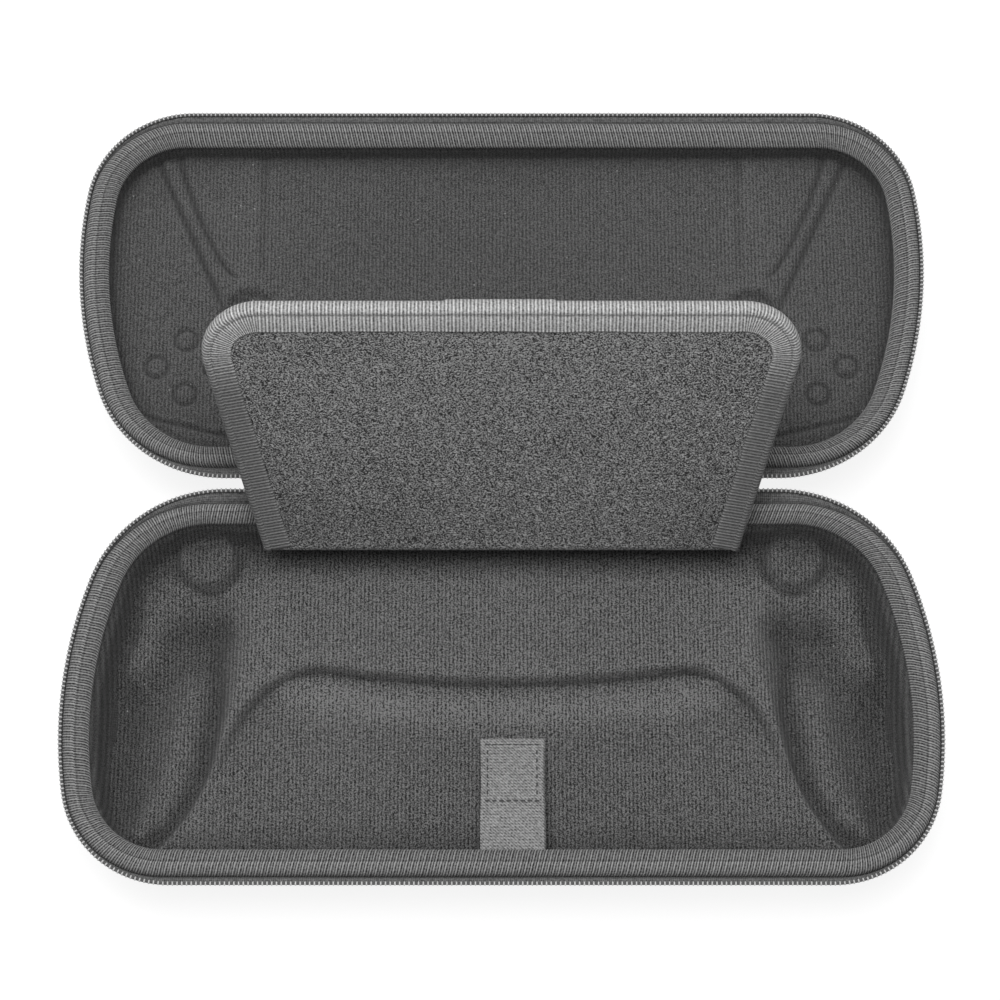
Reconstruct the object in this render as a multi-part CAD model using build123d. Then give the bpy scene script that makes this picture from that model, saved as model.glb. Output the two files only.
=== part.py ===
from build123d import *
import math
import os

os.makedirs("parts", exist_ok=True)

# Driving dimensions, in millimetres and degrees.
# The case lies open: +X to the right, the base on -Y, the lid on +Y, the hinge on Y = 0.
RIM_Z = 38.0           # top of both rims above the table
AXIS_LIFT = 0.3        # hinge axis above the rims
RIM_HALF = 151.5       # half width over the rim binding
RIM_REAR = 7.3         # hinge axis to the rear edge of the binding
RIM_FRONT = 142.2      # hinge axis to the front edge of the binding
RIM_WIDEST = 88.0      # hinge axis to the widest place
R_REAR = 42.0          # rear corner radius
R_SIDE = 161.0         # radius of the bowed sides
R_FRONT = 34.5         # front corner radius
REAR_SHARE = 0.77      # rim and walls are thinner along the hinge
FIT = 0.05             # gap between glued or sewn pieces

# Edge binding of the rims
BIND_W = 9.3           # width over the rim
BIND_H = 9.0           # height of the outer leg
BIND_IN_H = 4.5        # height of the inner leg
BIND_T = 0.9           # thickness of the woven tape
BIND_FLAT = 0.361      # flat between its two rounded edges along the hinge
DRAFT_GAP = 0.5        # drafted walls start this far under the binding

# Moulded shells
WALL = 3.2             # wall and floor of the foam shell
WALL_DRAFT = 10.0      # draft of the wall under the binding
FOOT_R = 12.0          # rounding of the foot
FOOT_CHAMFER = 7.0     # plain inner corner, out of sight

# Base tray
PLATFORM_DEPTH = 20.0  # rest for the screen, below the rim
FRONT_DEPTH = 25.5     # space in front of the arched step
WELL_DEPTH = 32.0      # wells for the grips
POCKET_DRAFT = 12.0    # draft of the tray wall
POCKET_R = 6.0         # rounding at the foot of the tray wall
ARCH_MID = 68.0        # hinge axis to the middle of the arched step
ARCH_END = 58.0        # hinge axis to the corners of the step
ARCH_HALF = 80.0       # half length of the step between its corners
ARCH_CORNER_R = 15.0   # rounding of these corners
FLANK_TURN = 27.0      # slant of the step's flanks, outward to the front
STEP_DRAFT = 20.0      # slope of the arched step
STEP_R = 4.0           # rounding at the foot of the step
WELL_INNER = 89.0      # middle of the case to the inner edge of a well
WELL_REAR = 40.0       # hinge axis to the rear edge of a well
WELL_RUN = 5.0         # straight inner edge between the rear corner and the bend
WELL_TURN = 16.0       # slant of the inner edge in front of the bend
WELL_CORNER_R = 18.0   # rounding of a well's rear corner and of the bend
WELL_DRAFT = 28.0      # slope of the inner side of a well
WELL_R = 7.0           # rounding at the foot of a well
BOSS_X = 103.5         # place of the two rear bosses
BOSS_S = 19.5
BOSS_R = 11.5
BOSS_DEPTH = 13.0      # top of a boss below the rim
BOSS_LIP = 1.8         # rounding of its edge

# Lid lining
LID_DEPTH = 12.0       # floor of the lid below the rim
LID_DRAFT = 8.0
LID_R = 3.5            # rounding at the foot of the lid wall
PANEL_HALF = 86.5      # half width of the sunk middle panel
PANEL_SUNK = 1.0
PANEL_REAR = 30.0
RELIEF = 0.9           # height of the moulded relief
RIDGE_X = 99.0         # inner end of the slanting ridges
RIDGE_S = 79.0
RIDGE_L = 56.0
RIDGE_W = 6.0
RIDGE_TURN = 25.0      # slant outward to the front
RING_X = 114.0         # middle of the four rings
RING_S = 49.2
RING_PITCH = 10.6      # middle of the four to one ring
RING_R = 4.3
RING_W = 1.4
DIMPLE_X = 91.0        # round dimples over the thumb sticks
DIMPLE_S = 68.5
DIMPLE_R = 10.5
DIMPLE_SUNK = 2.0

# Zip fastener
ZIP_OUT = 1.4          # chain outside the binding at the sides
ZIP_FRONT_OUT = 3.8    # chain outside the binding at the front
ZIP_REAR = 1.9         # hinge axis to the chain along the hinge
ZIP_R_REAR = 49.0      # rear corner radius of the chain
ZIP_R_FRONT = 38.5     # front corner radius of the chain
ZIP_END = 70.0         # middle of the case to the zip ends
COIL_W = 1.3
COIL_H = 2.2
COIL_R = 0.5
TAPE_T = 0.7
TAPE_IN = 0.3          # edge of the tape inside the edge of the chain
SLIDER_L = 9.0
SLIDER_PLATE = 0.55
SLIDER_STOP = 1.0      # slider to the end of the chain
PULL_L = 20.0          # puller below its pin
PULL_W = 6.0
PULL_T = 1.6
PIN_R = 0.9
PIN_PLAY = 0.1
LUG_T = 0.8

# Hinge strip between the shells
HINGE_HALF = 64.0

# Screen flap, hinged at the rear of the base
FLAP_S = 22.0          # hinge axis of the case to the flap axis
FLAP_BELOW = 2.0       # flap axis below the rim
FLAP_OPEN = 122.0      # leaning back, counted from folded down
FLAP_L = 101.6
FLAP_HALF = 84.0       # half width at the flap axis
FLAP_FLARE = 0.218     # growth of the half width along the flap
FLAP_CORNER = 20.0
FLAP_T = 5.1           # over both faces
BOARD_T = 2.6
FLAP_BIND_W = 9.0
FLAP_BIND_T = 0.7
FLAP_START = 4.4       # first millimetres are bare bead
BEAD_R = 2.7
CUP_PLAY = 0.35
CUP_T = 0.7
LOOP_L = 24.0
LOOP_HALF = 30.0
PATCH_T = 0.8

# Strap at the front of the base
STRAP_X = 4.5
STRAP_W = 22.0
STRAP_T = 2.4
STRAP_TIP = 88.0       # hinge axis to the tip
STRAP_TIP_DEPTH = 20.0
STRAP_ROOT_DEPTH = 10.4
HOOK_L = 17.0

# Derived heights and insets
AXIS_Z = RIM_Z + AXIS_LIFT
SHELL_SPLIT = RIM_Z - BIND_H - DRAFT_GAP
POCKET_SPLIT = RIM_Z - BIND_IN_H - DRAFT_GAP
CORE_TOP = RIM_Z - BIND_T - FIT
SHELL_IN = BIND_T + FIT
TRAY_OUT = SHELL_IN + WALL + FIT
POCKET_IN = BIND_W - BIND_T - FIT
WELL_BEND = WELL_REAR + WELL_CORNER_R + WELL_RUN
BIND_R = (BIND_W * REAR_SHARE - BIND_FLAT) / 2
CORE_R = BIND_R - BIND_T - FIT
COIL_TOP = RIM_Z - AXIS_LIFT - FIT
COIL_LOW = COIL_TOP - COIL_H
TAPE_TOP = COIL_LOW - FIT
TAPE_LOW = TAPE_TOP - TAPE_T


def curve_face(half, rear, front, r_rear, r_side, r_front):
    # Closed outline of tangent arcs, drawn on the base side
    side_x = half - r_side
    rear_s = rear + r_rear
    front_s = front - r_front
    rear_x = side_x + math.sqrt((r_side - r_rear) ** 2 - (rear_s - RIM_WIDEST) ** 2)
    front_x = side_x + math.sqrt((r_side - r_front) ** 2 - (front_s - RIM_WIDEST) ** 2)
    u_rear = Vector(rear_x - side_x, rear_s - RIM_WIDEST).normalized()
    u_front = Vector(front_x - side_x, front_s - RIM_WIDEST).normalized()
    m_rear = (u_rear + Vector(0, -1)).normalized()
    m_front = (u_front + Vector(0, 1)).normalized()
    half_points = [
        Vector(rear_x, rear),
        Vector(rear_x, rear_s) + m_rear * r_rear,
        Vector(side_x, RIM_WIDEST) + u_rear * r_side,
        Vector(half, RIM_WIDEST),
        Vector(side_x, RIM_WIDEST) + u_front * r_side,
        Vector(front_x, front_s) + m_front * r_front,
        Vector(front_x, front),
    ]
    right = [(p.X, -p.Y) for p in half_points]
    left = [(-p.X, -p.Y) for p in half_points]
    edges = [
        ThreePointArc(right[0], right[1], right[2]),
        ThreePointArc(right[2], right[3], right[4]),
        ThreePointArc(right[4], right[5], right[6]),
        Line(right[6], left[6]),
        ThreePointArc(left[6], left[5], left[4]),
        ThreePointArc(left[4], left[3], left[2]),
        ThreePointArc(left[2], left[1], left[0]),
        Line(left[0], right[0]),
    ]
    return make_face(edges)


def rim_face(inset, z):
    # Outline of the rim, moved inward
    return Pos(0, 0, z) * curve_face(
        RIM_HALF - inset, RIM_REAR + inset * REAR_SHARE, RIM_FRONT - inset,
        R_REAR - inset, R_SIDE - inset, R_FRONT - inset)


def zip_face(inset, z):
    # Outline of the zip chain, moved inward
    return Pos(0, 0, z) * curve_face(
        RIM_HALF + ZIP_OUT - inset, ZIP_REAR + inset, RIM_FRONT + ZIP_FRONT_OUT - inset,
        ZIP_R_REAR - inset, R_SIDE + ZIP_OUT - inset, ZIP_R_FRONT - inset)


def upright(face, low, high):
    # Prism of an outline between two heights
    return extrude(Pos(0, 0, low - face.center().Z) * face, amount=high - low, dir=(0, 0, 1))


def lowest(solid):
    return solid.edges().group_by(Axis.Z)[0]


def highest(solid):
    return solid.edges().group_by(Axis.Z)[-1]


def drafted(inset, split, floor, draft):
    # Drafted wall from the end of the upright edge down to a floor
    return extrude(rim_face(inset, split), amount=split - floor, dir=(0, 0, -1), taper=draft)


def pocket(floor, draft, radius):
    # Hollow inside the binding with a rounded foot
    lower = fillet(lowest(drafted(POCKET_IN, POCKET_SPLIT, floor, draft)), radius)
    return lower + upright(rim_face(POCKET_IN, 0), POCKET_SPLIT, RIM_Z)


def filler(inset, floor, top):
    # Inside of a shell, with a plain corner
    lower = drafted(inset, SHELL_SPLIT, floor, WALL_DRAFT)
    return chamfer(lowest(lower), FOOT_CHAMFER) + upright(rim_face(inset, 0), SHELL_SPLIT, top)


def make_shell():
    lower = fillet(lowest(drafted(SHELL_IN, SHELL_SPLIT, 0, WALL_DRAFT)), FOOT_R)
    body = lower + upright(rim_face(SHELL_IN, 0), SHELL_SPLIT, CORE_TOP)
    body = fillet(highest(body), CORE_R)
    return body - filler(SHELL_IN + WALL, WALL, RIM_Z)


def make_binding():
    ring = upright(rim_face(0, 0), RIM_Z - BIND_H, RIM_Z)
    ring = ring - upright(rim_face(BIND_W, 0), 0, RIM_Z)
    ring = fillet(highest(ring), BIND_R)
    core = upright(rim_face(BIND_T, 0), 0, RIM_Z - BIND_T)
    core = core - upright(rim_face(BIND_W - BIND_T, 0), 0, RIM_Z)
    ring = ring - fillet(highest(core), BIND_R - BIND_T)
    return ring - upright(rim_face(BIND_W / 2, 0), 0, RIM_Z - BIND_IN_H)


def chain_ends():
    # Block that takes the chain away along the hinge strip
    deep = R_REAR / 2
    return Pos(0, -deep / 2, RIM_Z) * Box(2 * ZIP_END, deep, RIM_Z)


def make_tape():
    ring = upright(zip_face(TAPE_IN, 0), TAPE_LOW, TAPE_TOP)
    ring = ring - upright(rim_face(-FIT, 0), 0, RIM_Z)
    return ring - chain_ends()


def make_coil():
    ring = upright(zip_face(0, 0), COIL_LOW, COIL_TOP)
    ring = ring - upright(zip_face(COIL_W, 0), 0, RIM_Z)
    ring = fillet(highest(ring), COIL_R)
    return ring - chain_ends()


def slant(turn, length):
    # Sideways run of a slanting line
    return math.tan(math.radians(turn)) * length


def well_tool(side):
    # Inner side slopes, outer side follows the tray wall
    outer = RIM_HALF + WELL_DEPTH
    front_x = WELL_INNER + slant(WELL_TURN, RIM_FRONT - WELL_BEND)
    plan = Polygon(
        (WELL_INNER, -WELL_REAR), (WELL_INNER, -WELL_BEND), (front_x, -RIM_FRONT),
        (outer, -RIM_FRONT), (outer, -WELL_REAR), align=None)
    plan = fillet(plan.vertices().group_by(Axis.X)[0], WELL_CORNER_R)
    plan = Pos(0, 0, RIM_Z - PLATFORM_DEPTH) * plan
    deep = WELL_DEPTH - PLATFORM_DEPTH
    tool = extrude(plan, amount=deep, dir=(0, 0, -1), taper=WELL_DRAFT)
    tool = fillet(lowest(tool), WELL_R)
    tool = tool & pocket(RIM_Z - WELL_DEPTH, POCKET_DRAFT, POCKET_R)
    return tool if side > 0 else mirror(tool, about=Plane.YZ)


def front_tool():
    # Space in front of the arched step
    far_x = ARCH_HALF + slant(FLANK_TURN, RIM_FRONT - ARCH_END)
    corners = [(-ARCH_HALF, -ARCH_END), (ARCH_HALF, -ARCH_END)]
    edges = [
        ThreePointArc(corners[0], (0, -ARCH_MID), corners[1]),
        Polyline(corners[1], (far_x, -RIM_FRONT), (-far_x, -RIM_FRONT), corners[0]),
    ]
    plan = make_face(edges)
    plan = fillet(plan.vertices().group_by(Axis.Y)[-1], ARCH_CORNER_R)
    plan = Pos(0, 0, RIM_Z - PLATFORM_DEPTH) * plan
    deep = FRONT_DEPTH - PLATFORM_DEPTH
    tool = extrude(plan, amount=deep, dir=(0, 0, -1), taper=STEP_DRAFT)
    tool = fillet(lowest(tool), STEP_R)
    return tool & pocket(RIM_Z - FRONT_DEPTH, POCKET_DRAFT, POCKET_R)


def make_tray():
    block_in = filler(TRAY_OUT, WALL + FIT, CORE_TOP)
    body = block_in - pocket(RIM_Z - PLATFORM_DEPTH, POCKET_DRAFT, POCKET_R)
    body = fillet(inner_top(body), CORE_R)
    body = body - front_tool()
    body = body - well_tool(1) - well_tool(-1)
    boss_high = PLATFORM_DEPTH - BOSS_DEPTH
    boss = Pos(0, 0, RIM_Z - PLATFORM_DEPTH) * fillet(highest(Cylinder(BOSS_R, 2 * boss_high)), BOSS_LIP)
    for side in (1, -1):
        body = body + (Pos(side * BOSS_X, -BOSS_S, 0) * boss & block_in)
    return body


def inner_top(body):
    # Edges of the hollow at the top of a lining
    marks = [edge.center() for edge in rim_face(POCKET_IN, CORE_TOP).edges()]
    return [edge for edge in highest(body) if min((edge.center() - m).length for m in marks) < FIT]


def make_lining():
    floor = RIM_Z - LID_DEPTH
    body = filler(TRAY_OUT, WALL + FIT, CORE_TOP)
    body = body - pocket(floor, LID_DRAFT, LID_R)
    body = fillet(inner_top(body), CORE_R)
    panel = pocket(floor - PANEL_SUNK, LID_DRAFT, LID_R)
    length = RIM_FRONT - PANEL_REAR
    panel = panel & Pos(0, -PANEL_REAR - length / 2, floor) * Box(2 * PANEL_HALF, length, LID_DEPTH)
    body = body - panel
    ball = (DIMPLE_R ** 2 + DIMPLE_SUNK ** 2) / (2 * DIMPLE_SUNK)
    ridge = extrude(RectangleRounded(RIDGE_W, RIDGE_L, RIDGE_W / 2 - FIT), amount=2 * RELIEF)
    ridge = Pos(0, -RIDGE_L / 2, floor - RELIEF) * ridge
    ring = Cylinder(RING_R, 2 * RELIEF) - Cylinder(RING_R - RING_W, 2 * RELIEF)
    for side in (1, -1):
        place = Pos(side * RIDGE_X, -RIDGE_S, 0) * Rot(0, 0, side * RIDGE_TURN)
        body = body + place * ridge
        body = body - Pos(side * DIMPLE_X, -DIMPLE_S, floor + ball - DIMPLE_SUNK) * Sphere(ball)
        for step in ((1, 0), (-1, 0), (0, 1), (0, -1)):
            x = side * (RING_X + step[0] * RING_PITCH)
            y = -RING_S - step[1] * RING_PITCH
            body = body - Pos(x, y, floor) * ring
    return body


def wall_y(z):
    # Front wall of the tray hollow at a height under the binding
    return -(RIM_FRONT - POCKET_IN - (POCKET_SPLIT - z) * math.tan(math.radians(POCKET_DRAFT)) - FIT)


def make_strap():
    high = RIM_Z - STRAP_ROOT_DEPTH
    tip = RIM_Z - STRAP_TIP_DEPTH
    points = [(wall_y(high), high), (-STRAP_TIP, tip), (-STRAP_TIP, tip - STRAP_T)]
    points = points + [(wall_y(high - STRAP_T), high - STRAP_T)]
    profile = Plane.YZ * make_face(Polyline(*points, close=True))
    return Pos(STRAP_X, 0, 0) * extrude(profile, amount=STRAP_W / 2, both=True)


def make_hook_patch():
    high = RIM_Z - STRAP_ROOT_DEPTH
    tip = RIM_Z - STRAP_TIP_DEPTH
    slope = (high - tip) / (-STRAP_TIP - wall_y(high))
    margin = (STRAP_W - HOOK_L) / 2
    near = -STRAP_TIP - margin
    low = tip - STRAP_T - FIT + margin * slope
    points = [(near, low), (near - HOOK_L, low + HOOK_L * slope)]
    points = points + [(near - HOOK_L, low + HOOK_L * slope - PATCH_T), (near, low - PATCH_T)]
    profile = Plane.YZ * make_face(Polyline(*points, close=True))
    return Pos(STRAP_X, 0, 0) * extrude(profile, amount=HOOK_L / 2, both=True)


def block(x0, x1, y0, y1, z0, z1):
    centre = Pos((x0 + x1) / 2, (y0 + y1) / 2, (z0 + z1) / 2)
    return centre * Box(x1 - x0, y1 - y0, z1 - z0)


PIN_Z = TAPE_LOW - FIT - SLIDER_PLATE - PULL_W / 2 - PIN_PLAY
PIN_Y = -(ZIP_REAR + COIL_W / 2 + PULL_T / 2)
SLIDER_X = ZIP_END + SLIDER_L / 2 + SLIDER_STOP


def make_slider(side):
    # Two plates round the chain, a side wall and two lugs with the pin of the puller
    near = -ZIP_REAR + FIT
    lug = PULL_T / 2 + PIN_PLAY
    low = TAPE_LOW - FIT - SLIDER_PLATE
    top = COIL_TOP + FIT + SLIDER_PLATE
    back = PIN_Y - lug - LUG_T
    half = SLIDER_L / 2
    body = block(-half, half, back, near + LUG_T, low, top)
    body = fillet(body.edges().filter_by(Axis.Z), LUG_T / 2)
    body = body - block(-half - 1, half + 1, back - 1, near, low + SLIDER_PLATE, top - SLIDER_PLATE)
    for way in (1, -1):
        y = PIN_Y + way * (lug + LUG_T / 2)
        body = body + block(-1.7 * PIN_R, 1.7 * PIN_R, y - LUG_T / 2, y + LUG_T / 2, PIN_Z - 1.7 * PIN_R, low)
    pin = Rot(90, 0, 0) * Cylinder(PIN_R, 2 * lug + LUG_T)
    return Pos(side * SLIDER_X, 0, 0) * (body + Pos(0, PIN_Y, PIN_Z) * pin)


def make_puller(side):
    # Flat tab that hangs from the pin
    tab = Pos(0, -PULL_L / 2) * Rot(0, 0, 90) * SlotCenterToCenter(PULL_L - PULL_W / 2, PULL_W)
    tab = Pos(0, PULL_W / 4) * tab - Circle(PIN_R + PIN_PLAY)
    tab = tab - Pos(0, -PULL_L + PULL_W / 2) * Circle(PULL_W / 4)
    solid = extrude(Plane.XZ * tab, amount=PULL_T / 2, both=True)
    return Pos(side * SLIDER_X, PIN_Y, PIN_Z) * solid


def make_hinge_strip():
    reach = RIM_REAR - FIT
    return block(-HINGE_HALF, HINGE_HALF, -reach, reach, TAPE_LOW, TAPE_TOP)


def flap_face(inset):
    # Flap outline, folded down, from the flap axis to the free edge
    lean = inset * math.sqrt(1 + FLAP_FLARE ** 2)
    end = FLAP_L - inset
    near = FLAP_HALF - lean
    far = FLAP_HALF + FLAP_FLARE * end - lean
    plan = Polygon((near, 0), (far, -end), (-far, -end), (-near, 0), align=None)
    return fillet(plan.vertices().group_by(Axis.Y)[0], FLAP_CORNER - inset)


def flap_layer(inset, low, high, start):
    # One layer of the flap between two heights above its middle plane
    solid = extrude(Pos(0, 0, low) * flap_face(inset), amount=high - low, dir=(0, 0, 1))
    wide = FLAP_HALF + FLAP_L
    return solid - block(-wide, wide, -start, FLAP_L, low - FLAP_T, high + FLAP_T)


def lean_back(solid):
    # From folded down to leaning back over the hinge
    return Pos(0, -FLAP_S, RIM_Z - FLAP_BELOW) * Rot(-FLAP_OPEN, 0, 0) * solid


def make_flap_binding():
    out = FLAP_T / 2 + FLAP_BIND_T
    solid = extrude(Pos(0, 0, -out) * flap_face(0), amount=2 * out, dir=(0, 0, 1))
    solid = fillet(highest(solid) + lowest(solid), out * 0.7)
    solid = solid - flap_layer(FLAP_BIND_W, -2 * out, 2 * out, -FLAP_START)
    solid = solid - flap_layer(FLAP_BIND_T, -FLAP_T / 2 - FIT, FLAP_T / 2 + FIT, -FLAP_START)
    wide = FLAP_HALF + FLAP_L
    return solid - block(-wide, wide, -FLAP_START, FLAP_START, -2 * out, 2 * out)


def make_flap_board():
    plate = flap_layer(FLAP_BIND_T + FIT, -BOARD_T / 2, BOARD_T / 2, 0)
    bead = Rot(0, 90, 0) * Cylinder(BEAD_R, 2 * (FLAP_HALF - FLAP_BIND_T))
    return plate + bead


def make_flap_strip():
    # Cloth cup under the bead and a tab to the rear binding
    inner = BEAD_R + CUP_PLAY
    outer = inner + CUP_T
    fan = Polygon((0, 0), (-outer, -outer), (0, -3 * outer), (3 * outer, 0), align=None)
    cup = (Circle(outer) - Circle(inner)) & fan
    reach = FLAP_S - RIM_REAR - BIND_W * REAR_SHARE - FIT
    tab = Pos((inner + reach) / 2, -CUP_T / 2) * Rectangle(reach - inner, CUP_T)
    profile = Plane.YZ * (cup + tab)
    solid = extrude(profile, amount=FLAP_HALF - FLAP_START, both=True)
    return Pos(0, -FLAP_S, RIM_Z - FLAP_BELOW) * solid


def make_loop_patch():
    end = FLAP_L - FLAP_BIND_W - FLAP_START
    low = FLAP_T / 2 + FIT
    return block(-LOOP_HALF, LOOP_HALF, -end, -end + LOOP_L, low, low + PATCH_T)


def over(solid):
    # Lid pieces mirror the base over the hinge
    return mirror(solid, about=Plane.XZ)


face_low = BOARD_T / 2 + FIT
face_high = FLAP_T / 2
edge_in = FLAP_BIND_T + FIT
shell = make_shell()
binding = make_binding()
tape = make_tape()
coil = make_coil()

nodes = {
    "base_shell": shell,
    "base_tray": make_tray(),
    "base_binding": binding,
    "base_zipper_tape": tape,
    "base_zipper_coil": coil,
    "strap": make_strap(),
    "strap_hook_patch": make_hook_patch(),
    "zipper_slider_left": make_slider(-1),
    "zipper_slider_right": make_slider(1),
    "zipper_puller_left": make_puller(-1),
    "zipper_puller_right": make_puller(1),
    "hinge_strip": make_hinge_strip(),
    "flap_hinge_strip": make_flap_strip(),
    "lid_shell": over(shell),
    "lid_lining": over(make_lining()),
    "lid_binding": over(binding),
    "lid_zipper_tape": over(tape),
    "lid_zipper_coil": over(coil),
    "flap_board": lean_back(make_flap_board()),
    "flap_front_face": lean_back(flap_layer(edge_in, -face_high, -face_low, FLAP_START)),
    "flap_back_face": lean_back(flap_layer(edge_in, face_low, face_high, FLAP_START)),
    "flap_binding": lean_back(make_flap_binding()),
    "flap_loop_patch": lean_back(make_loop_patch()),
}

for name, solid in nodes.items():
    export_step(solid, os.path.join("parts", name + ".step"))
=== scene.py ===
import math

import bpy
import numpy as np
from bpy.props import FloatProperty, FloatVectorProperty
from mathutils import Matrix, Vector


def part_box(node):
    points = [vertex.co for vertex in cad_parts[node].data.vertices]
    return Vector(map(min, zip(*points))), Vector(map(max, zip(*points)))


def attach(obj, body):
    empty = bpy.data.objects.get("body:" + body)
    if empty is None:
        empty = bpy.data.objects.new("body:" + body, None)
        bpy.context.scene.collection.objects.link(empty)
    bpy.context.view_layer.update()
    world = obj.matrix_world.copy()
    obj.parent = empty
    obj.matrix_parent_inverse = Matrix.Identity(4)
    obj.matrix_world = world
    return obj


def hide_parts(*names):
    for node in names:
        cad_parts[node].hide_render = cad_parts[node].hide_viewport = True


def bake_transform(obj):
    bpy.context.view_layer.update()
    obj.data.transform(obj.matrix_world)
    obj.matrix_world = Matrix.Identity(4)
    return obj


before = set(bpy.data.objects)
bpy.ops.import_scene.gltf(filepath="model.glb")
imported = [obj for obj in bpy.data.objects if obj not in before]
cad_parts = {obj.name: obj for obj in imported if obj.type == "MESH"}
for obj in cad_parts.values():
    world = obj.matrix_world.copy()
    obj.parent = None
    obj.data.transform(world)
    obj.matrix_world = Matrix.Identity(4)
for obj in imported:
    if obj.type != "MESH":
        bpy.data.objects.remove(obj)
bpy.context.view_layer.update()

bl_info = {
    "name": "Console case dressing",
    "version": (1, 1, 0),
    "blender": (4, 5, 0),
    "location": "View3D > Sidebar > Case",
    "description": "Cloth, binding, zip and lining surfaces for a zipped console case",
    "category": "Object",
}

RIM_LOW, RIM_HIGH = [[float(v) for v in corner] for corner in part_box("base_binding")]
RIM_TOP = RIM_HIGH[2]
MM = 0.001
BASE, LID = -1.0, 1.0


# Sizes and colours that a user would change

def length(name, description, default):
    """A length in metres."""
    return FloatProperty(name=name, description=description, default=default, unit="LENGTH", precision=5)


def tint(name, description, grey):
    """A neutral cloth colour, given as one linear grey level."""
    return FloatVectorProperty(name=name, description=description, size=3, subtype="COLOR",
                               default=(grey, grey, grey), min=0.0, max=1.0)


class CaseSizes(bpy.types.PropertyGroup):
    """Lengths of the case, in metres."""
    rim_half: length("Rim half width", "Middle of the case to the outside of the rim binding", RIM_HIGH[0])
    rim_rear: length("Rim rear", "Hinge line to the rear of the binding", -RIM_HIGH[1])
    rim_front: length("Rim front", "Hinge line to the front of the binding", -RIM_LOW[1])
    rim_widest: length("Widest place", "Hinge line to the widest place of the rim", 0.088)
    r_rear: length("Rear corner", "Radius of the rear corners", 0.042)
    r_side: length("Side bow", "Radius of the bowed sides", 0.161)
    r_front: length("Front corner", "Radius of the front corners", 0.0345)
    binding_width: length("Binding width", "Width of the woven binding over the rim", 0.0093)
    layer_edge: length("Layer edge", "Outside of the binding to the edge of its upper layer", 0.0041)
    chain_out: length("Chain at the sides", "Zip chain outside the binding", 0.0014)
    chain_front: length("Chain at the front", "Zip chain outside the binding", 0.0038)
    chain_rear: length("Chain at the hinge", "Hinge line to the zip chain", 0.0019)
    chain_r_rear: length("Chain rear corner", "Rear corner radius of the zip chain", 0.049)
    chain_r_front: length("Chain front corner", "Front corner radius of the zip chain", 0.0385)
    chain_end: length("Chain end", "Middle of the case to the zip ends", 0.070)
    tooth_pitch: length("Tooth pitch", "Distance from tooth to tooth", 0.0016)
    flap_axis: length("Flap axis", "Hinge line to the axis of the flap", 0.022)
    flap_below: length("Flap depth", "Axis of the flap below the rim", 0.002)
    flap_length: length("Flap length", "Axis of the flap to its free edge", 0.1016)
    flap_half: length("Flap half width", "Half width at the axis", 0.084)
    flap_corner: length("Flap corner", "Radius of the free corners", 0.020)
    strap_x: length("Strap place", "Middle of the case to the middle of the strap", 0.0037)
    strap_width: length("Strap width", "Width of the webbing", 0.022)
    rib_pitch: length("Binding rib", "Distance from rib to rib of the rim binding", 0.00097)
    flap_rib: length("Flap rib", "Distance from rib to rib of the flap binding", 0.00125)
    knit_pitch: length("Knit rib", "Distance from rib to rib of the lining", 0.00137)
    rear_share: FloatProperty(name="Rear share", description="Width of the rim along the hinge as a share",
                              default=0.77)
    flap_flare: FloatProperty(name="Flap flare", description="Growth of the half width along the flap",
                              default=0.218)
    flap_open: FloatProperty(name="Flap lean", description="Lean from folded down", subtype="ANGLE",
                             default=math.radians(122.0))


class CaseColours(bpy.types.PropertyGroup):
    """Linear colours of the cloths and fittings."""
    lining: tint("Lining", "Ribbed knit of tray and lid", 0.125)
    binding: tint("Rim binding", "Woven edge tape", 0.150)
    flap_tape: tint("Flap binding", "Woven edge tape of the flap", 0.43)
    felt: tint("Felt", "Napped faces of the flap", 0.225)
    strap: tint("Strap", "Twill webbing", 0.23)
    outer: tint("Outer cloth", "Woven cloth on the outside", 0.045)
    tape: tint("Zip tape", "Woven tape of the zip", 0.13)
    tooth: tint("Teeth", "Moulded zip teeth", 0.62)
    cord: tint("Zip cord", "Filler cord behind the teeth", 0.10)
    thread: tint("Thread", "Sewing thread", 0.06)
    flap_thread: tint("Flap thread", "Sewing thread of the flap binding", 0.15)
    metal: tint("Slider paint", "Painted sliders and pullers", 0.05)


def sizes():
    return bpy.context.scene.case_sizes


def colours():
    return bpy.context.scene.case_colours


# Curves of the rim, the chain and the flap

def rim_shape(grow=0.0, chain=False):
    """Centres and radii of the tangent arcs of the rim outline, or of the zip chain, moved outward by grow.
    Along the hinge the rim moves only by its rear share. grow may be an array."""
    s = sizes()
    if chain:
        half, rear, front = s.rim_half + s.chain_out, s.chain_rear - grow, s.rim_front + s.chain_front
        rr, rs, rf = s.chain_r_rear, s.r_side + s.chain_out, s.chain_r_front
    else:
        half, rear, front = s.rim_half, s.rim_rear - grow * s.rear_share, s.rim_front
        rr, rs, rf = s.r_rear, s.r_side, s.r_front
    half, front = half + grow, front + grow
    rr, rs, rf = rr + grow, rs + grow, rf + grow
    side_x, rear_s, front_s = half - rs, rear + rr, front - rf
    rear_x = side_x + np.sqrt((rs - rr) ** 2 - (rear_s - s.rim_widest) ** 2)
    front_x = side_x + np.sqrt((rs - rf) ** 2 - (front_s - s.rim_widest) ** 2)
    turn_rear = np.arctan2(rear_s - s.rim_widest, rear_x - side_x)
    turn_front = np.arctan2(front_s - s.rim_widest, front_x - side_x)
    return {"rear": rear, "front": front, "rr": rr, "rs": rs, "rf": rf, "side_x": side_x, "rear_s": rear_s,
            "front_s": front_s, "rear_x": rear_x, "front_x": front_x, "turn_rear": turn_rear,
            "turn_front": turn_front, "widest": s.rim_widest}


def running(points):
    """Length along a dense curve up to each of its points."""
    return np.concatenate([[0.0], np.cumsum(np.hypot(*np.diff(points, axis=0).T))])


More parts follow.
